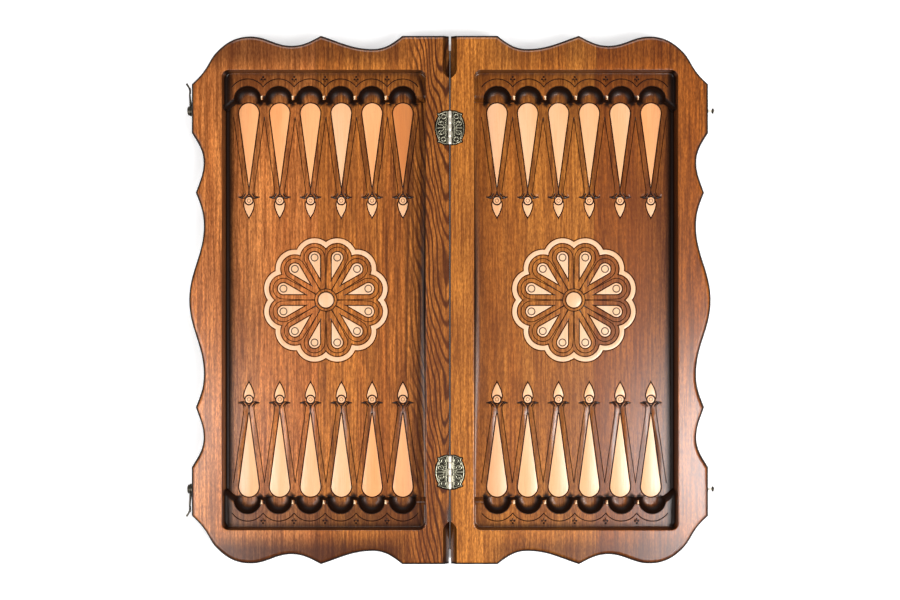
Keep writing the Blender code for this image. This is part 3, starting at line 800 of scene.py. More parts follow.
def floor_tone_and_painted_light(places, inset, floor):
    """How dark the pocket's floor is: beside the points, and painted shade in the scoops, on the fronts and
    at the walls; below 0, a painted glint.
    """
    u, v = places[:, 0], places[:, 1]
    rise = (floor - FIELD) / (HEADER - FIELD)
    on_field = rise < 0.001
    on_front = (rise > 0.001) & (rise < 0.999)
    # Darker on the header tops; painted shade down the headers' rounded fronts, deepest on their upper part
    tone_and_painted_light = np.where(rise > 0.999, HEADER_BURN, FRONT_SHADE + 0.55 * np.clip(rise * 3, 0, 1))
    tone_and_painted_light = np.where(on_field, 0.0, tone_and_painted_light)
    for middle in column_places():
        radius = np.hypot(u - middle, v - SCOOP_MIDDLE)
        share = np.clip(radius / SCOOP_RADIUS, 0, 1)
        scoop = (radius < SCOOP_RADIUS + 0.05) & (v > SCOOP_MIDDLE - 4)
        # Painted shade in each scoop, darker towards its rim
        tone_and_painted_light = np.where(scoop, SCOOP_SHADE + (1 - SCOOP_SHADE) * np.clip((share - 0.40) / 0.35, 0, 1), tone_and_painted_light)
        sheath = inside(places, sheath_border(middle))
        tone_and_painted_light = np.where(sheath & on_field & ~scoop, SHEATH_BURN, tone_and_painted_light)
    # Painted shade on the fronts: black beside the outer wall, lighter near the hinge
    tone_and_painted_light = np.where((u > FRONT_AT_WALL) & on_front, 1.0, tone_and_painted_light)
    tone_and_painted_light = np.where((u < FRONT_NEAR_HINGE) & on_front, NEAR_HINGE_SHADE, tone_and_painted_light)
    # A pale painted glint beside each web tip, standing in for a highlight
    tips = [np.abs(u - middle - HALF_PITCH - GLINT_OUT) for middle in column_places()[:-1]]
    near_tip = (np.min(tips, axis=0) < GLINT_HALF_WIDTH) & (np.abs(v - GLINT_PLACE) < GLINT_HALF_LENGTH)
    glint = near_tip & (rise > 0.2)
    tone_and_painted_light = np.where(glint, PAINTED_GLINT, tone_and_painted_light)
    # Painted shade at the foot of the pocket's walls, strongest along the outer wall
    wall = WALL_SHADE + 0.6 * outer_share(places)
    along_wall = outer_share(places) * (inset < WALL_RUN + 0.05)
    foot = (wall - 0.45 * along_wall) * np.clip(1.5 - inset / wall_cove(places), 0, 1)
    return np.where(glint, tone_and_painted_light, np.maximum(tone_and_painted_light, foot))


def edge_painted_shade(inset):
    """How much painted shade a tray's rounded edge gets at a distance in from its edge."""
    return np.clip((EDGE_SHADE_REACH - inset) / EDGE_SHADE_FADE, 0, 1)


def top_surface(places, edge, cuts):
    """The height of a tray's open side and its two tones, at each place."""
    rim = rim_height(places, edge)
    inset = pocket_depth(places)
    deep, share = cuts.at(places)
    cove = wall_cove(places)
    reach = np.clip(cove + WALL_RUN - inset, 0, cove)
    ground = floor_height(places)
    floor = ground + cove - np.sqrt(cove**2 - reach**2)
    within = inset > WALL_RUN * 0.5
    height = np.where(within, np.minimum(floor - deep, THICKNESS), rim)
    # Painted shade on the rim: along its rounded edge, in the end notch, in the hinge gap and mortise, and
    # at the pocket's lip
    outer_edge_shade = edge_painted_shade(distance(places, edge))
    notch_shade = NOTCH_SHADE * (places[:, 0] < notch_radius(places[:, 1]) - 0.01)
    hinge_gap_shade = (places[:, 0] < HINGE_FACE + HINGE_ROUND + 0.05) | (np.abs(rim - MORTISE_FLOOR) < 0.01)
    rim_shade = np.max((outer_edge_shade, notch_shade, 1.0 * hinge_gap_shade, LIP_SHADE * (inset > -0.3)), axis=0)
    tone_and_painted_light = np.where(within, floor_tone_and_painted_light(places, inset, ground), rim_shade)
    return height, np.column_stack((np.where(within, share, 0), tone_and_painted_light))


def ridge_lines():
    """The sharp ridges where the scoops meet the header's rounded front."""
    lines = []
    level = np.radians(np.linspace(2, 90, 16))
    rise = np.sin(level)
    radius = SCOOP_RADIUS - SCOOP_COVE + SCOOP_COVE * np.sqrt(1 - (1 - rise) ** 2)
    back = TONGUE_RUN * np.cos(level)
    for middle in column_places():
        for flip in (1, -1):
            u = middle + flip * radius
            for _ in range(12):
                v = TONGUE_TOP - tongue_shift(u) - back
                across = np.sqrt(np.maximum(radius**2 - (v - SCOOP_MIDDLE) ** 2, 0.01))
                u = middle + flip * across
            lines.append(np.column_stack((u, v)))
    return lines


def header_guides():
    """The lines that the header's mesh follows: rings round the scoops, and steps down its front."""
    lines = ridge_lines()
    for middle in column_places():
        for angle in (0, 18, 34, 48, 60, 71, 81, 90):
            share = math.sin(math.radians(angle))
            radius = SCOOP_RADIUS - SCOOP_COVE + SCOOP_COVE * share
            reach = 205 if angle < 90 else 190
            lines.append(arc((middle, SCOOP_MIDDLE), radius, (180 - reach) / 2, (180 + reach) / 2, 1.1))
        lines.append(arc((middle, SCOOP_MIDDLE), SCOOP_RADIUS + 1.2, 10, 170, 1.2))
    across = np.concatenate(([POCKET_INNER], np.arange(30, 244, 4.0), np.arange(244, 259, 1.2)))
    for angle in (0, 10, 22, 36, 52, 70, 90):
        back = TONGUE_RUN * math.cos(math.radians(angle))
        lines.append(np.column_stack((across, TONGUE_TOP - tongue_shift(across) - back)))
    for shift in (SUPPORT, -TONGUE_RUN - SUPPORT):
        lines.append(np.column_stack((across, TONGUE_TOP - tongue_shift(across) + shift)))
    return lines


def edge_guides(edge):
    """The lines down a rounded edge, one that keeps the flat beside it flat, and a grid of points."""
    insets = [ROUND_OVER * (1 - math.cos(math.radians(a))) for a in (12, 25, 38, 52, 68, 90)]
    lines = [beside(edge, -inset) for inset in (*insets, ROUND_OVER + SUPPORT)]
    grid = np.arange(GRID / 2, END, GRID)
    return lines + [np.array(((u, v),)) for u in grid for v in (0.0, *grid)]


def top_guides(edge, cuts):
    """Every line that the mesh of a tray's open side follows."""
    lines = header_guides() + cuts.guides() + edge_guides(edge)
    lip = (-POCKET_LIP - SUPPORT, -POCKET_LIP, -POCKET_LIP * 0.55, -POCKET_LIP * 0.15)
    for inset in (*lip, 0.0, WALL_RUN):
        lines.append(pocket_line(inset))
    for share in (0.15, 0.4, 0.7, 1.0, 1.5):
        lines.append(pocket_line(WALL_RUN + WALL_COVE * share))
    for share in (0.15, 0.35, 0.6, 0.8, 1.0, 1.5):
        u = POCKET_OUTER - WALL_RUN - OUTER_WALL_COVE * share
        lines.append(np.array(((u, -2.0), (u, POCKET_END - 1.0))))
    for share in (0.35, 1.0, 1.0 + SUPPORT / HINGE_ROUND):
        u = HINGE_FACE + HINGE_ROUND * share
        lines.append(np.array(((u, -2.0), (u, NOTCH_START + 1.0))))
    along = np.concatenate((NOTCH_START + NOTCH_TAPER * np.linspace(0, 1, 9), (END - 3, END + 1)))
    for angle in (0, 14, 28, 44, 62, 78):
        lines.append(np.column_stack((notch_radius(along) * math.cos(math.radians(angle)), along)))
    hinge = (0.0, HINGE_PLACES["upper"])
    lines += [mortise_line(MORTISE_GAP) + hinge, mortise_line(MORTISE_GAP + 0.15) + hinge]
    return lines


def under_decor(cuts, edge):
    """A plain double line along the edge and a rosette, engraved in the tray's outer face."""
    for inset, half in DECOR_LINES:
        line = beside(edge, -inset)
        line = line[(line[:, 0] > inset + 2) & (line[:, 1] > -3)]
        cuts.add(np.vstack(((inset, -3.0), (inset, END - inset), line)), half, DECOR_DEPTH)
    middle = (POCKET_MIDDLE, 0.0)
    for radius in DECOR_CIRCLES:
        cuts.add(circle(middle, radius, 358, 2.5), 0.8, DECOR_DEPTH)
    for lobe in range(LOBES):
        heading = (lobe + 0.5) * 360 / LOBES
        for radius in DECOR_PETALS:
            petal = petal_line(radius) * DECOR_SCALE
            petal = petal[np.hypot(petal[:, 0], petal[:, 1]) > DECOR_HUB]
            cuts.add(turned(petal, heading, middle), 0.6, DECOR_DEPTH)


def make_trays(woods):
    """Both trays, each made of one quarter mirrored."""
    edge = tray_edge()
    rounded_edge = np.vstack((edge, edge[-12:-1][::-1] * (1, -1)))
    corner = np.array(((SLIT_HALF, END), (SLIT_HALF, SLIT_START), (HINGE_FACE, SLIT_START - 0.8)))
    shown = edge[edge[:, 0] > SLIT_HALF]
    border = np.vstack(((HINGE_FACE, 0.0), shown[::-1], corner, (HINGE_FACE, 0.0)))

    cuts = Engraving()
    for u in column_places():
        engrave_column(cuts, u)
    engrave_rosette(cuts, (POCKET_MIDDLE, 0.0))
    engrave_header(cuts)

    def on_the_middle(first, second):
        return (first[:, 1] < 0.01) & (second[:, 1] < 0.01)

    flat, triangles = fill(border, top_guides(rounded_edge, cuts))
    height, tones = top_surface(flat, rounded_edge, cuts)
    top = hung_sheet(flat, triangles, height, tones, WAIST, SIDE_SHADE, on_the_middle)

    decor = Engraving()
    under_decor(decor, edge)
    guides = decor.guides() + edge_guides(rounded_edge)
    flat, triangles = fill(rim_loop(flat, triangles), guides)
    deep, share = decor.at(flat)
    inset = distance(flat, rounded_edge)
    tones = np.column_stack((share, edge_painted_shade(inset)))
    rise = edge_fall(inset) + deep
    under = hung_sheet(flat, triangles[:, ::-1], rise, tones, WAIST, SIDE_SHADE, on_the_middle)

    half = top.join(under)
    whole = half.join(half.mirrored(1))
    for label, side in SIDES.items():
        sheet = whole if side > 0 else whole.mirrored(0)
        tray = make_object(label + "_tray_carved", sheet, [woods[label]], 30)
        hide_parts(label + "_case")
        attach(tray, label + "_tray")


# ---------------------------------------------------------------- inlays


def eased_height(inset):
    """An inlay's height at a distance in from its edge: flat, with its edge slightly rounded."""
    reach = np.clip(INLAY_EASE - inset, 0, INLAY_EASE)
    return INLAY_TOP - (INLAY_EASE - np.sqrt(INLAY_EASE**2 - reach**2)) * 0.8


def inlay(line, inward, rings=Engraving()):
    """One inlay slab from its outline, with any rings; inward is the side of the line that is wood."""
    guides = [beside(line, inward * INLAY_EASE * share) for share in (0.15, 0.5, 1.0)]

    def height(places):
        return eased_height(distance(places, line)) - rings.at(places)[0]

    def tones(places):
        return np.column_stack((rings.at(places)[1], np.zeros(len(places))))

    return slab(line, guides + rings.guides(), height, INLAY_FLOOR, tones)


def make_points(fair, warm, amber):
    """The twenty-four drop-shaped points, in the order of their CAD nodes."""
    columns = column_places()
    drop = inlay(drop_line(), 1)
    stops = [(1, u, -1) for u in reversed(columns)] + [(-1, u, -1) for u in columns]
    stops += [(-1, u, 1) for u in reversed(columns)] + [(1, u, 1) for u in columns]
    for number, (side, u, direction) in enumerate(stops, start=1):
        sheet = drop.moved((u, 0, 0))
        if direction < 0:
            sheet = sheet.mirrored(1)
        if side < 0:
            sheet = sheet.mirrored(0)
        wood = warm if number in WARM_POINTS else amber if number in AMBER_POINTS else fair
        point = make_object(f"point_inlay_{number:02d}", sheet, [wood])
        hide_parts(f"point_{number:02d}")
        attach(point, "right_tray" if side > 0 else "left_tray")


def petal_inlay():
    """One petal of a rosette, with a fine ring engraved at its round end."""
    rings = Engraving()
    rings.add(circle((LOBE_CENTRE, 0), PETAL_BEAD, 345, 0.9), 0.7, FINE_DEPTH)
    return inlay(petal_line(PETAL_ROUND), 1, rings=rings)


def ring_inlay():
    """The scalloped ring of a rosette."""
    outer = scallop_line(RING_OUTER_LOBE)
    inner = scallop_line(RING_INNER_LOBE)
    guides = [inner]
    for share in (0.15, 0.5, 1.0):
        guides += [beside(outer, INLAY_EASE * share), beside(inner, -INLAY_EASE * share)]

    def height(places):
        return eased_height(np.minimum(distance(places, outer), distance(places, inner)))

    return slab(outer, guides, height, INLAY_FLOOR, hole=inner)


def at_every_tip(shape, side):
    """The shape at the tips of one tray's twelve points."""
    copies = []
    for u in column_places():
        upper = shape.moved((side * u, 0, 0))
        copies += [upper, upper.mirrored(1)]
    return joined(copies)


def make_small_inlays(material, ring_material):
    """Each tray's rosette, and the spearheads and beads at its points' tips."""
    ring = ring_inlay()
    disc = inlay(circle((0, 0), DISC, 354, 1.0), 1)
    petal = petal_inlay()
    headings = [(lobe + 0.5) * 360 / LOBES for lobe in range(LOBES)]
    petals = joined([petal.placed(Matrix.Rotation(math.radians(a), 4, "Z")) for a in headings])
    spear = inlay(spear_line(), -1)
    eye = Engraving()
    eye.add(circle((0, BEAD_PLACE), BEAD * 0.5, 330, 0.8), 0.35, FINE_DEPTH * 0.5)
    bead = inlay(circle((0, BEAD_PLACE), BEAD, 345, 0.9), 1, rings=eye)
    for label, side in SIDES.items():
        spears = at_every_tip(spear, side)
        beads = at_every_tip(bead, side)
        middle = (side * POCKET_MIDDLE, 0, 0)
        pieces = {
            label + "_ring_inlay": (ring.moved(middle), ring_material, label + "_rosette_ring"),
            label + "_disc_inlay": (disc.moved(middle), ring_material, label + "_rosette_disc"),
            label + "_petal_inlays": (petals.moved(middle), ring_material, None),
            label + "_spear_inlays": (spears, material, None),
            label + "_bead_inlays": (beads, material, None),
        }
        for name, (sheet, wood, node) in pieces.items():
            piece = make_object(name, sheet, [wood])
            if node:
                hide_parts(node)
            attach(piece, label + "_tray")


# ---------------------------------------------------------------- hinges


def leaf_relief():
    """The cast ornament of a hinge leaf: a border, beads, nail rings, a stem and curling leaves."""
    relief = Engraving()
    relief.add(beside(leaf_line(), 0.6), 0.65, -0.7)
    relief.add(np.array(((LEAF_INNER + 0.6, -17.6), (LEAF_INNER + 0.6, 17.6))), 0.5, -0.5)
    for along in np.arange(-8.8, 8.9, 2.2):
        relief.add(circle((5.2, along), 0.2, 300, 0.3), 0.75, -0.6)
    stem = smooth_line(((6.8, 0), (9.0, 0.0), (11.0, 0.0), (13.6, 0.0)))
    relief.add(stem, 1.0, -0.7)
    curls = (
        ((6.9, 1.6), (9.0, 3.4), (11.8, 3.4), (13.2, 5.0), (12.2, 6.8)),
        ((6.9, 4.2), (7.7, 6.4), (9.8, 7.6), (11.0, 6.6), (10.0, 5.6)),
        ((12.6, 8.2), (12.2, 10.2), (11.2, 11.4)),
    )
    for flip in (1, -1):
        relief.add(circle((NAIL_OUT, flip * NAIL_ALONG), 2.35, 345, 0.7), 0.6, -0.7)
        for curl in curls:
            relief.add(smooth_line(np.array(curl) * (1, flip), 5), 0.7, -0.65)
    return relief


def knuckle(low, high):
    """One knuckle of a hinge, its ends slightly eased, along Y at the hinge's axis."""
    ease = 0.35
    corner = ((ease, 0.0), (ease * 0.3, ease * 0.3), (0.0, ease))
    upper = [(BARREL - inward, high - down) for inward, down in corner]
    lower = [(BARREL - inward, low + up) for inward, up in reversed(corner)]
    profile = [(0.0, high), *upper, *lower, (0.0, low)]
    along = Matrix(((1, 0, 0, 0), (0, 0, 1, 0), (0, -1, 0, HINGE_AXIS), (0, 0, 0, 1)))
    return lathe(profile, 24).placed(along).skinned(1)


def leaf_sheet(side):
    """One leaf with its knuckles, about its hinge's middle; the left leaf has the end knuckles."""
    line = leaf_line()
    border = np.vstack((line, ((LEAF_INNER, -BARREL_HALF),), line[:1]))
    relief = leaf_relief()

    def height(places):
        return LEAF_TOP - 0.7 - relief.at(places)[0]

    def tones(places):
        sunk = np.clip(1 + relief.at(places)[0] / 0.5, 0, 1)
        return np.column_stack((sunk, sunk * 0))

    sheet = slab(border, relief.guides(), height, LEAF_FLOOR, tones)
    first = 0 if side < 0 else 1
    length = 2 * BARREL_HALF / KNUCKLES
    for index in range(first, KNUCKLES, 2):
        low = -BARREL_HALF + index * length + KNUCKLE_GAP / 2
        high = low + length - KNUCKLE_GAP
        inner, outer, start, end = 0.9, LEAF_INNER + 0.6, low + 0.15, high - 0.15
        tab_line = closed(np.array(((inner, start), (outer, start), (outer, end), (inner, end))))
        tab = slab(tab_line, [], lambda places: 37.15 + 0.2 * (places[:, 0] < 2), LEAF_FLOOR + 0.1)
        sheet.join(tab)
        sheet.join(knuckle(low, high))
    return sheet if side > 0 else sheet.mirrored(0)


def make_hinges(cast, bright):
    """Both hinges: the leaves replace their CAD nodes, the nails and pins keep theirs."""
    for place_name, place in HINGE_PLACES.items():
        for label, side in SIDES.items():
            name = f"{place_name}_hinge_{label}_leaf"
            leaf = make_object(name + "_cast", leaf_sheet(side).moved((0, place, 0)), [cast, bright], 40)
            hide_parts(name)
            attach(leaf, label + "_tray")


# ---------------------------------------------------------------- latches


def sweep(path, widths, depths, sides=14):
    """A bar along a path in the YZ plane; widths lie across X and depths in the plane."""
    path = np.array(path, float)
    heading = np.gradient(path, axis=0)
    heading /= np.linalg.norm(heading, axis=1)[:, None]
    across = np.column_stack((np.zeros(len(path)), -heading[:, 2], heading[:, 1]))
    points = []
    faces = []
    for place, normal, width, depth in zip(path, across, widths, depths):
        for step in range(sides):
            angle = 2 * math.pi * step / sides
            share = (math.cos(angle), math.sin(angle))
            flat = [math.copysign(abs(part) ** 0.7, part) for part in share]
            points.append(place + np.array((1, 0, 0)) * flat[0] * width / 2 + normal * flat[1] * depth / 2)
    for ring in range(len(path) - 1):
        for step in range(sides):
            after = (step + 1) % sides
            low = ring * sides
            high = low + sides
            faces.append((low + step, low + after, high + after, high + step))
    faces.append(tuple(range(sides))[::-1])
    last = (len(path) - 1) * sides
    faces.append(tuple(range(last, last + sides)))
    return Sheet(np.array(points), faces)


def hook_sheet():
    """A hook about its pivot, lying towards +Y: an eye, a waisted arm, a mouth and a leaning prong."""
    middle = -LATCH_OUT - 2.6
    eye_profile = [(1.9, 0.8), (2.5, 1.0), (5.2, 1.0), (6.0, 0.6), (6.2, 0.0)]
    eye_profile += [(6.0, -0.6), (5.2, -0.8), (1.9, -0.8), (1.9, 0.8)]
    facing = Matrix(((0, 0, -1, middle), (0, 1, 0, 0), (1, 0, 0, 0), (0, 0, 0, 1)))
    sheet = lathe(eye_profile, 36).placed(facing)
    arm = smooth_line(((5.2, 0.0), (9.0, -0.3), (14.0, 0.3), (18.0, 0.1), (20.4, -0.9)), 5)
    mouth = arc((HOOK_REACH, 0.0), 3.1, 196, 372, 0.6)
    line = smooth_line(np.vstack((arm, mouth))[::2], 2)
    lean = HOOK_LEAN * np.clip((line[:, 0] - 5.0) / (HOOK_REACH - 5.0), 0, 1)
    path = np.column_stack((middle - lean, line))
    share = np.linspace(0, 1, len(line))
    widths = 2.4 + 0.4 * np.cos(share * math.pi * 2) - 0.5 * share**4
    depths = 3.6 - 1.5 * np.sin(np.clip(share * 1.6, 0, 1) * math.pi / 2) + 0.2 * share
    sheet.join(sweep(path, widths, depths))
    end = middle - HOOK_LEAN
    knots = np.array(((0.0, 1.4), (-0.5, 3.4), (-2.2, 6.2), (-3.6, 8.4)))
    prong = smooth_line(knots + (end, HOOK_REACH), 4)
    flat_path = np.column_stack((np.zeros(len(prong)), prong))
    share = np.linspace(0, 1, len(prong))
    bar = sweep(flat_path, 4.6 - 1.0 * share, 1.9 + 0.5 * share)
    tip = Matrix(((0, 1, 0, 0), (0, 0, 1, 0), (1, 0, 0, -1.2), (0, 0, 0, 1)))
    return sheet.join(bar.placed(tip))


def side_pin(profile, side):
    """A turned piece in a tray's side, from (radius, distance out from the side) points."""
    turn = Matrix(((0, 0, side, 0), (0, 1, 0, 0), (-side, 0, 0, 0), (0, 0, 0, 1)))
    return lathe([(radius, LATCH_OUT + out) for radius, out in profile], 28).placed(turn)


def make_latches(dark, bright):
    """The hooks, their pivot screws and the pegs."""
    peg = side_pin(PEG_HEAD, 1).join(side_pin(PEG_COLLAR, 1)).join(side_pin(PEG_SHANK, 1).skinned(1))
    pivot = side_pin(SCREW, -1)
    for label, place in LATCH_PLACES.items():
        seat = (0, place, LATCH_HEIGHT)
        hook = hook_sheet() if place > 0 else hook_sheet().mirrored(1)
        pieces = (
            (f"{label}_hook_forged", hook, dark, f"{label}_hook", f"{label}_hook", "hook_metal"),
            (f"{label}_hook_pivot", pivot, dark, f"{label}_hook_screw", "left_tray", "hook_metal"),
            (f"{label}_peg_turned", peg, dark, f"{label}_peg", "right_tray", "bright_metal"),
        )
        for name, sheet, metal, node, body, slot in pieces:
            piece = make_object(name, sheet.moved(seat), [metal, bright], 35)
            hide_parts(node)
            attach(piece, body)


# ---------------------------------------------------------------- materials


def linear(red, green, blue):
    """A colour given as 0 to 255 display values, as linear values."""
    shares = [value / 255 for value in (red, green, blue)]
    return tuple(((s + 0.055) / 1.055) ** 2.4 if s > 0.04045 else s / 12.92 for s in shares)


def set_inputs(node, **values):
    """Set a node's inputs by name, with _ for each space."""
    for name, value in values.items():
        node.inputs[name.replace("_", " ")].default_value = value


class Wiring:
    """Short calls for adding and linking a material's nodes."""

    def __init__(self, name):
        self.material = bpy.data.materials.new(name)
        self.material.use_nodes = True
        self.tree = self.material.node_tree
        self.shader = self.tree.nodes["Principled BSDF"]
        self.where = self.node("ShaderNodeTexCoord").outputs["Object"]

    def node(self, kind, **settings):
        made = self.tree.nodes.new(kind)
        for key, value in settings.items():
            setattr(made, key, value)
        return made

    def feed(self, socket, value):
        if isinstance(value, bpy.types.NodeSocket):
            self.tree.links.new(value, socket)
        elif isinstance(value, tuple) and len(value) == 3 and socket.type == "RGBA":
            socket.default_value = (*value, 1.0)
        else:
            socket.default_value = value

    def math(self, operation, first, second=0.0, clamp=False):
        made = self.node("ShaderNodeMath", operation=operation, use_clamp=clamp)
        self.feed(made.inputs[0], first)
        self.feed(made.inputs[1], second)
        return made.outputs[0]

    def times(self, first, second):
        return self.math("MULTIPLY", first, second)

    def minus(self, first, second):
        return self.math("SUBTRACT", first, second)

    def most(self, first, second):
        return self.math("MAXIMUM", first, second)

    def least(self, first, second):
        return self.math("MINIMUM", first, second)

    def mix(self, share, first, second, blend="MIX"):
        made = self.node("ShaderNodeMix", data_type="RGBA", blend_type=blend)
        self.feed(made.inputs["Factor"], share)
        self.feed(made.inputs[6], first)
        self.feed(made.inputs[7], second)
        return made.outputs[2]

    def scaled(self, scale, offset=(0, 0, 0)):
        made = self.node("ShaderNodeMapping")
        self.feed(made.inputs["Vector"], self.where)
        set_inputs(made, Scale=scale, Location=offset)
        return made.outputs[0]

    def noise(self, scale, offset=(0, 0, 0), detail=3.0, rough=0.5, distortion=0.0):
        vector = self.scaled(scale, offset)
        made = self.node("ShaderNodeTexNoise")
        self.feed(made.inputs["Vector"], vector)
        set_inputs(made, Scale=1.0, Detail=detail, Roughness=rough, Distortion=distortion)
        return made.outputs["Fac"]

    def bands(self, vector, scale, distortion, detail, detail_scale):
        made = self.node("ShaderNodeTexWave", wave_type="BANDS", bands_direction="X")
        self.feed(made.inputs["Vector"], vector)
        set_inputs(made, Scale=scale, Distortion=distortion, Detail=detail, Detail_Scale=detail_scale)
        return made.outputs["Fac"]

    def span(self, value, low, high, to_low=0.0, to_high=1.0):
        made = self.node("ShaderNodeMapRange", interpolation_type="SMOOTHSTEP")
        self.feed(made.inputs["Value"], value)
        set_inputs(made, From_Min=low, From_Max=high, To_Min=to_low, To_Max=to_high)
        return made.outputs["Result"]

    def attribute(self, name):
        return self.node("ShaderNodeAttribute", attribute_name=name).outputs["Fac"]

    def axes(self):
        made = self.node("ShaderNodeSeparateXYZ")
        self.feed(made.inputs[0], self.where)
        return made.outputs

    def bump(self, height, strength, depth):
        made = self.node("ShaderNodeBump")
        set_inputs(made, Strength=strength, Distance=depth)
        self.feed(made.inputs["Height"], height)
        self.feed(self.shader.inputs["Normal"], made.outputs["Normal"])

    def finish(self, **sockets):
        for name, value in sockets.items():
            self.feed(self.shader.inputs[name.replace("_", " ")], value)
        return self.material


def plank_colour(wiring, offset, pale, mid, dark, rings):
    """Stained beech along Y: broad streaks, growth rings and two sizes of fine grain."""
    streak = wiring.noise((40, 1.5, 40), offset, detail=4, rough=0.6, distortion=0.3)
    figure = wiring.bands(wiring.scaled((1, 0.22, 1), offset), 70, 26, 1.5, 0.25)
    grain = wiring.noise((420, 16, 420), offset, detail=4, rough=0.7)
    colour = wiring.mix(wiring.span(streak, 0.25, 0.75), pale, mid)
    colour = wiring.mix(wiring.span(figure, 0.45, 1.0, 0.0, rings), colour, dark)
    colour = wiring.mix(wiring.span(grain, 0.38, 0.66, 0.0, 0.72), colour, dark)
    fine = wiring.noise((260, 7, 260), offset, detail=3, rough=0.6)
    return wiring.mix(wiring.span(fine, 0.49, 0.62, 0.0, 0.42), colour, dark)


def arched_rings(wiring, axes, centre):
    """Growth rings that form nested arches, open towards +Y, about a line at x = centre."""
    across = wiring.times(wiring.minus(axes[0], centre), ARCH_RINGS_ACROSS)
    bowed = wiring.math("SQRT", wiring.math("ADD", wiring.times(across, across), 1.0))
    rings = wiring.minus(bowed, wiring.times(axes[1], ARCH_RINGS_ALONG))
    sway = wiring.noise((30, 9, 30), (1.3, 0.6, 0.0), detail=1.5)
    rings = wiring.math("ADD", rings, wiring.times(sway, ARCH_SWAY))
    return wiring.math("SINE", wiring.times(rings, 2 * math.pi))


def pocket_shade(wiring, axes):
    """How dark the pocket is along its walls, where stain and shadow gather."""
    out = wiring.math("ABSOLUTE", axes[0])
    along = wiring.math("ABSOLUTE", axes[1])
    from_outer = wiring.minus(POCKET_OUTER * MM, out)
    from_hinge = wiring.minus(out, POCKET_INNER * MM)
    from_end = wiring.minus(POCKET_END * MM, along)
    shade = wiring.least(
        wiring.span(from_outer, 0.0004, 0.0030, 0.0, 0.97),
        wiring.span(from_outer, 0.004, 0.0145, 0.97, 0.0),
    )
    shade = wiring.most(shade, wiring.span(from_hinge, 0.001, 0.009, 0.12, 0.0))
    shade = wiring.most(shade, wiring.span(from_end, 0.0, 0.007, 0.5, 0.0))
    shade = wiring.most(shade, wiring.span(from_outer, 0.0, 0.050, 0.25, 0.0))
    nearest = wiring.least(wiring.least(from_outer, from_hinge), from_end)
    within = wiring.span(nearest, -0.0006, -0.0001)
    below_rim = wiring.span(axes[2], *BELOW_RIM, 1.0, 0.0)
    above_base = wiring.span(axes[2], *ABOVE_BASE)
    between = wiring.times(below_rim, above_base)
    return wiring.times(shade, wiring.times(within, between))


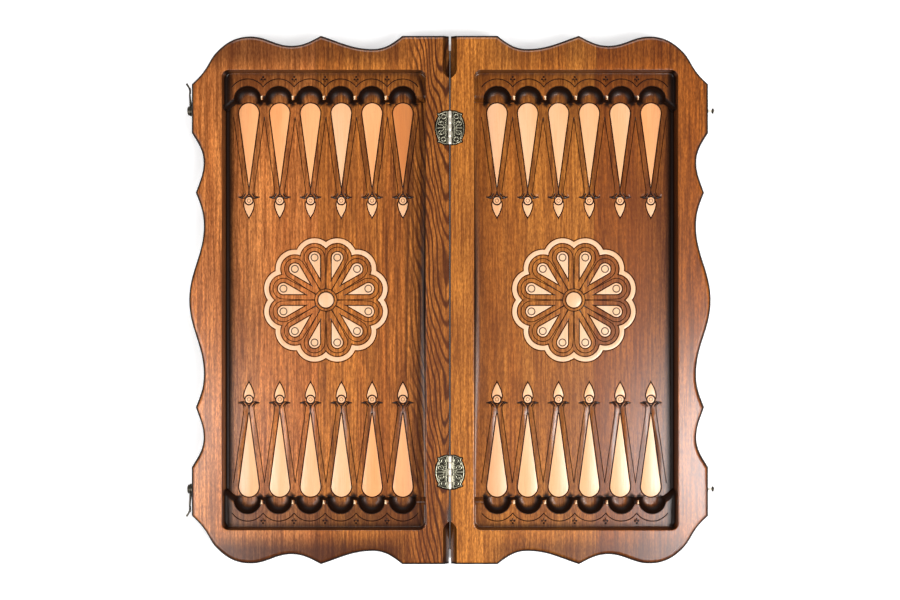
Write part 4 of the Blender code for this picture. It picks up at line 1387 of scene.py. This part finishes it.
def stained_wood(name, planks, seam, rail_tones, heart, field):
    """Glossy stained beech of two planks that meet at a seam, with pores, dark grooves, painted shade along
    edges and in hollows, and painted glints.

    The tones say how dark the far and near rails are; heart adds arched rings; field darkens the pocket.
    """
    wiring = Wiring(name)
    axes = wiring.axes()
    out = wiring.math("ABSOLUTE", axes[0])
    first = plank_colour(wiring, (0.3, 0.2, 0.1), *planks[0])
    second = plank_colour(wiring, (3.1, 1.7, 0.4), *planks[1])
    colour = wiring.mix(wiring.math("GREATER_THAN", out, seam), first, second)
    gap = wiring.math("ABSOLUTE", wiring.minus(out, seam))
    colour = wiring.mix(wiring.span(gap, 0.0002, 0.0009, 0.35, 0.0), colour, linear(60, 25, 10))
    if heart:
        arches = wiring.span(arched_rings(wiring, axes, ARCH_CENTRE), -0.1, 0.95)
        arches = wiring.times(arches, wiring.span(out, 0.030, 0.060, 0.92, 0.0))
        colour = wiring.mix(arches, colour, linear(66, 27, 9))
        streaks = wiring.span(wiring.noise((170, 3.5, 170), detail=3), 0.50, 0.60)
        streaks = wiring.times(streaks, wiring.span(out, 0.050, 0.120, 0.5, 0.0))
        in_pocket = wiring.span(axes[2], *BELOW_RIM, 1.0, 0.15)
        colour = wiring.mix(wiring.times(streaks, in_pocket), colour, linear(66, 30, 11))
        ledges = wiring.most(
            wiring.span(axes[1], -LEDGE_EDGE[1], -LEDGE_EDGE[0], 0.52, 0.0),
            wiring.span(axes[1], *LEDGE_EDGE, 0.0, 0.22),
        )
        inside_tray = wiring.times(in_pocket, wiring.span(axes[2], *ABOVE_BASE))
        colour = wiring.mix(wiring.times(inside_tray, ledges), colour, linear(48, 22, 10))
        on_rim = wiring.span(axes[2], *ON_RIM)
        stile = wiring.times(wiring.span(out, *HINGE_STILE, 0.26, 0.0), on_rim)
        colour = wiring.mix(stile, colour, linear(64, 26, 6))
    speckle = wiring.noise((620, 230, 620), (0.7, 0.1, 0.3), detail=2, rough=0.6)
    colour = wiring.mix(wiring.span(speckle, 0.38, 0.62, 0.0, 0.50), colour, (0.42, 0.34, 0.26), "MULTIPLY")
    pores = wiring.noise((950, 160, 900), detail=2, rough=0.5)
    colour = wiring.mix(wiring.span(pores, 0.50, 0.64, 0.0, 0.45), colour, linear(96, 44, 12))
    clouds = wiring.noise((9, 5, 9), (2.0, 5.0, 0.0), detail=3)
    colour = wiring.mix(wiring.span(clouds, 0.42, 0.75, 0.0, 0.4), colour, linear(110, 54, 20))
    rails = wiring.times(wiring.span(out, 0.03, 0.07), wiring.span(axes[2], *ON_RIM))
    far = wiring.span(axes[1], *FAR_RAIL, 0.0, rail_tones[0])
    near = wiring.span(axes[1], *NEAR_RAIL, rail_tones[1], 0.0)
    rails = wiring.times(rails, wiring.most(far, near))
    colour = wiring.mix(rails, colour, linear(56, 20, 4))
    in_pocket = wiring.span(axes[2], *BELOW_RIM, field, 0.0)
    colour = wiring.mix(in_pocket, colour, linear(90, 42, 12))
    shade = pocket_shade(wiring, axes)
    colour = wiring.mix(shade, colour, linear(20, 8, 3))
    tone = wiring.attribute("tone_and_painted_light")
    # Below 0 the tone paints a pale glint, standing in for a highlight
    colour = wiring.mix(wiring.span(tone, -0.8, -0.2, 1.0, 0.0), colour, linear(250, 214, 170))
    # Above 0 the tone darkens the wood: painted shade, and the darker header tops and bands beside the
    # points
    tone_and_painted_light = wiring.span(tone, 0.0, 0.95)
    colour = wiring.mix(tone_and_painted_light, colour, linear(26, 11, 5))
    cut = wiring.span(wiring.attribute("cut"), 0.02, 0.45)
    colour = wiring.mix(cut, colour, linear(30, 12, 6))
    grain = wiring.noise((620, 9, 620), (0.3, 0.2, 0.1), detail=4, rough=0.65)
    gloss = wiring.span(grain, 0.3, 0.8, 0.38, 0.50)
    dull = wiring.most(tone_and_painted_light, wiring.times(shade, 0.6))
    wiring.bump(wiring.math("ADD", grain, wiring.times(pores, 0.6)), 0.2, 0.0002)
    return wiring.finish(
        Base_Color=colour,
        Roughness=wiring.math("ADD", gloss, wiring.times(cut, 0.3)),
        Specular_IOR_Level=0.12,
        Coat_Weight=wiring.math("SUBTRACT", 0.9, dull, clamp=True),
        Coat_Roughness=0.2,
        Coat_IOR=1.5,
    )


def light_wood(name, pale, deep, fleck):
    """Pale beech for the inlays, with fine grain along Y, short flecks and dark engraved rings."""
    wiring = Wiring(name)
    broad = wiring.noise((60, 8, 60), detail=3)
    grain = wiring.noise((900, 30, 900), detail=3, rough=0.6)
    pores = wiring.noise((1700, 260, 900), detail=2)
    colour = wiring.mix(wiring.span(broad, 0.3, 0.7), pale, deep)
    colour = wiring.mix(wiring.span(grain, 0.45, 0.75, 0.0, 0.35), colour, fleck)
    colour = wiring.mix(wiring.span(pores, 0.62, 0.74, 0.0, 0.5), colour, fleck)
    cut = wiring.span(wiring.attribute("cut"), 0.0, 0.4)
    colour = wiring.mix(cut, colour, linear(46, 24, 10))
    wiring.bump(grain, 0.15, 0.00015)
    return wiring.finish(
        Base_Color=colour,
        Roughness=wiring.span(grain, 0.3, 0.8, 0.28, 0.42),
        Coat_Weight=0.5,
        Coat_Roughness=0.22,
    )


def metal(name, colour, tarnish, rough, cut_share=0.0, metallic=1.0):
    """Cast or turned metal with patches of tarnish, fine scratches and, by cut_share, dark hollows."""
    wiring = Wiring(name)
    patches = wiring.noise((400, 400, 400), detail=5, rough=0.6)
    fine = wiring.noise((2500, 900, 2500), detail=2)
    shade = wiring.mix(wiring.span(patches, 0.35, 0.70, 0.0, 0.5), colour, tarnish)
    cut = wiring.times(wiring.span(wiring.attribute("cut"), 0.25, 0.95), cut_share)
    shade = wiring.mix(cut, shade, linear(28, 24, 16))
    wiring.bump(fine, 0.2, 0.0001)
    return wiring.finish(
        Base_Color=shade,
        Metallic=metallic,
        Roughness=wiring.span(patches, 0.3, 0.75, rough, rough + 0.18),
    )


def dress_nodes(dark, bright):
    """Give the CAD nodes that still show, the nails and pins, their metal."""
    for name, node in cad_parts.items():
        if "_nail_" in name or name.endswith("_hinge_pin"):
            node.data.materials.clear()
            node.data.materials.append(dark if "_nail_" in name else bright)


# ---------------------------------------------------------------- stage


def make_floor():
    """A plain pale floor under the board."""
    mesh = bpy.data.meshes.new("floor")
    corners = [(-1, -1), (1, -1), (1, 1), (-1, 1)]
    points = [(x * FLOOR_REACH, y * FLOOR_REACH, FLOOR_LEVEL) for x, y in corners]
    mesh.from_pydata(points, [], [(0, 1, 2, 3)])
    wiring = Wiring("floor_paint")
    glow = {"Emission_Color": (1.0, 1.0, 1.0), "Emission_Strength": 0.35}
    mesh.materials.append(wiring.finish(Base_Color=(0.9, 0.9, 0.9), Roughness=0.9, **glow))
    floor = bpy.data.objects.new("floor", mesh)
    bpy.context.scene.collection.objects.link(floor)


def make_lamp(name, place, size, power, target=(0, 0, 0)):
    """A soft square lamp aimed at a target."""
    data = bpy.data.lights.new(name, "AREA")
    data.shape = "RECTANGLE"
    data.size, data.size_y = size
    data.energy = power
    lamp = bpy.data.objects.new(name, data)
    lamp.location = place
    aim = Vector(target) - Vector(place)
    lamp.rotation_euler = aim.to_track_quat("-Z", "Y").to_euler()
    bpy.context.scene.collection.objects.link(lamp)


def make_sky():
    """Dim studio surroundings: dark overhead, so that flat varnish stays clear, and brighter low down."""
    world = bpy.data.worlds.new("studio")
    world.use_nodes = True
    tree = world.node_tree
    background = tree.nodes["Background"]
    place = tree.nodes.new("ShaderNodeTexCoord")
    parts = tree.nodes.new("ShaderNodeSeparateXYZ")
    ramp = tree.nodes.new("ShaderNodeMapRange")
    set_inputs(ramp, From_Min=0.55, From_Max=0.92, To_Min=1.9, To_Max=0.06)
    tree.links.new(place.outputs["Generated"], parts.inputs[0])
    tree.links.new(parts.outputs["Z"], ramp.inputs["Value"])
    tree.links.new(ramp.outputs["Result"], background.inputs["Strength"])
    bpy.context.scene.world = world


def make_light():
    """Soft studio light from both sides and the back, and a small lamp for each tray's sheen."""
    make_sky()
    make_lamp("key", (1.00, -0.62, 1.40), (0.9, 1.2), 27, (0.0, -0.10, 0))
    make_lamp("fill", (-1.08, -0.50, 1.40), (0.9, 1.2), 18, (0.0, -0.10, 0))
    make_lamp("back", (0.0, 1.40, 1.30), (1.8, 0.5), 15)
    make_lamp("haze", (0.71, -0.38, 1.98), (0.38, 0.34), 7.4, (0.28, -0.17, 0))
    make_lamp("left_haze", (-0.72, -0.34, 1.98), (0.26, 0.34), 2.0, (-0.28, -0.17, 0))


def make_camera():
    """The camera straight above the board."""
    data = bpy.data.cameras.new("camera")
    data.sensor_width = SENSOR
    data.lens = LENS
    data.clip_end = 50
    camera = bpy.data.objects.new("camera", data)
    camera.location = CAMERA_PLACE
    bpy.context.scene.collection.objects.link(camera)
    bpy.context.scene.camera = camera


def main():
    """Make every material and piece, then the stage."""
    bpy.context.scene.view_settings.view_transform = "Standard"
    left_planks = (
        (linear(236, 148, 63), linear(200, 115, 46), linear(88, 38, 12), 0.26),
        (linear(246, 158, 84), linear(214, 124, 58), linear(118, 58, 18), 0.18),
    )
    right_planks = (
        (linear(230, 148, 62), linear(204, 120, 44), linear(116, 58, 16), 0.15),
        (linear(200, 116, 42), linear(164, 86, 27), linear(92, 42, 12), 0.18),
    )
    left = {"seam": 0.152, "rail_tones": (0.60, 0.84), "heart": True, "field": 0.0}
    right = {"seam": 0.166, "rail_tones": (0.42, 0.62), "heart": False, "field": 0.22}
    woods = {
        "left": stained_wood("left_stained_beech", left_planks, **left),
        "right": stained_wood("right_stained_beech", right_planks, **right),
    }
    pale = light_wood("pale_beech", linear(240, 186, 142), linear(234, 172, 120), linear(206, 138, 86))
    ring = light_wood("ring_beech", linear(236, 192, 156), linear(228, 178, 134), linear(196, 140, 96))
    cast = metal("antique_bronze", linear(176, 172, 150), linear(120, 114, 92), 0.28, cut_share=0.9)
    bright = metal("bright_nickel", linear(240, 232, 214), linear(214, 204, 182), 0.28, metallic=0.55)
    dark = metal("darkened_steel", linear(96, 90, 80), linear(52, 48, 42), 0.30)
    make_trays(woods)
    warm = light_wood("warm_beech", linear(244, 172, 116), linear(236, 156, 96), linear(200, 124, 70))
    amber = light_wood("amber_beech", linear(222, 142, 78), linear(206, 124, 64), linear(176, 100, 50))
    make_points(pale, warm, amber)
    make_small_inlays(pale, ring)
    make_hinges(cast, bright)
    make_latches(dark, bright)
    dress_nodes(dark, bright)
    make_floor()
    make_light()
    make_camera()


main()
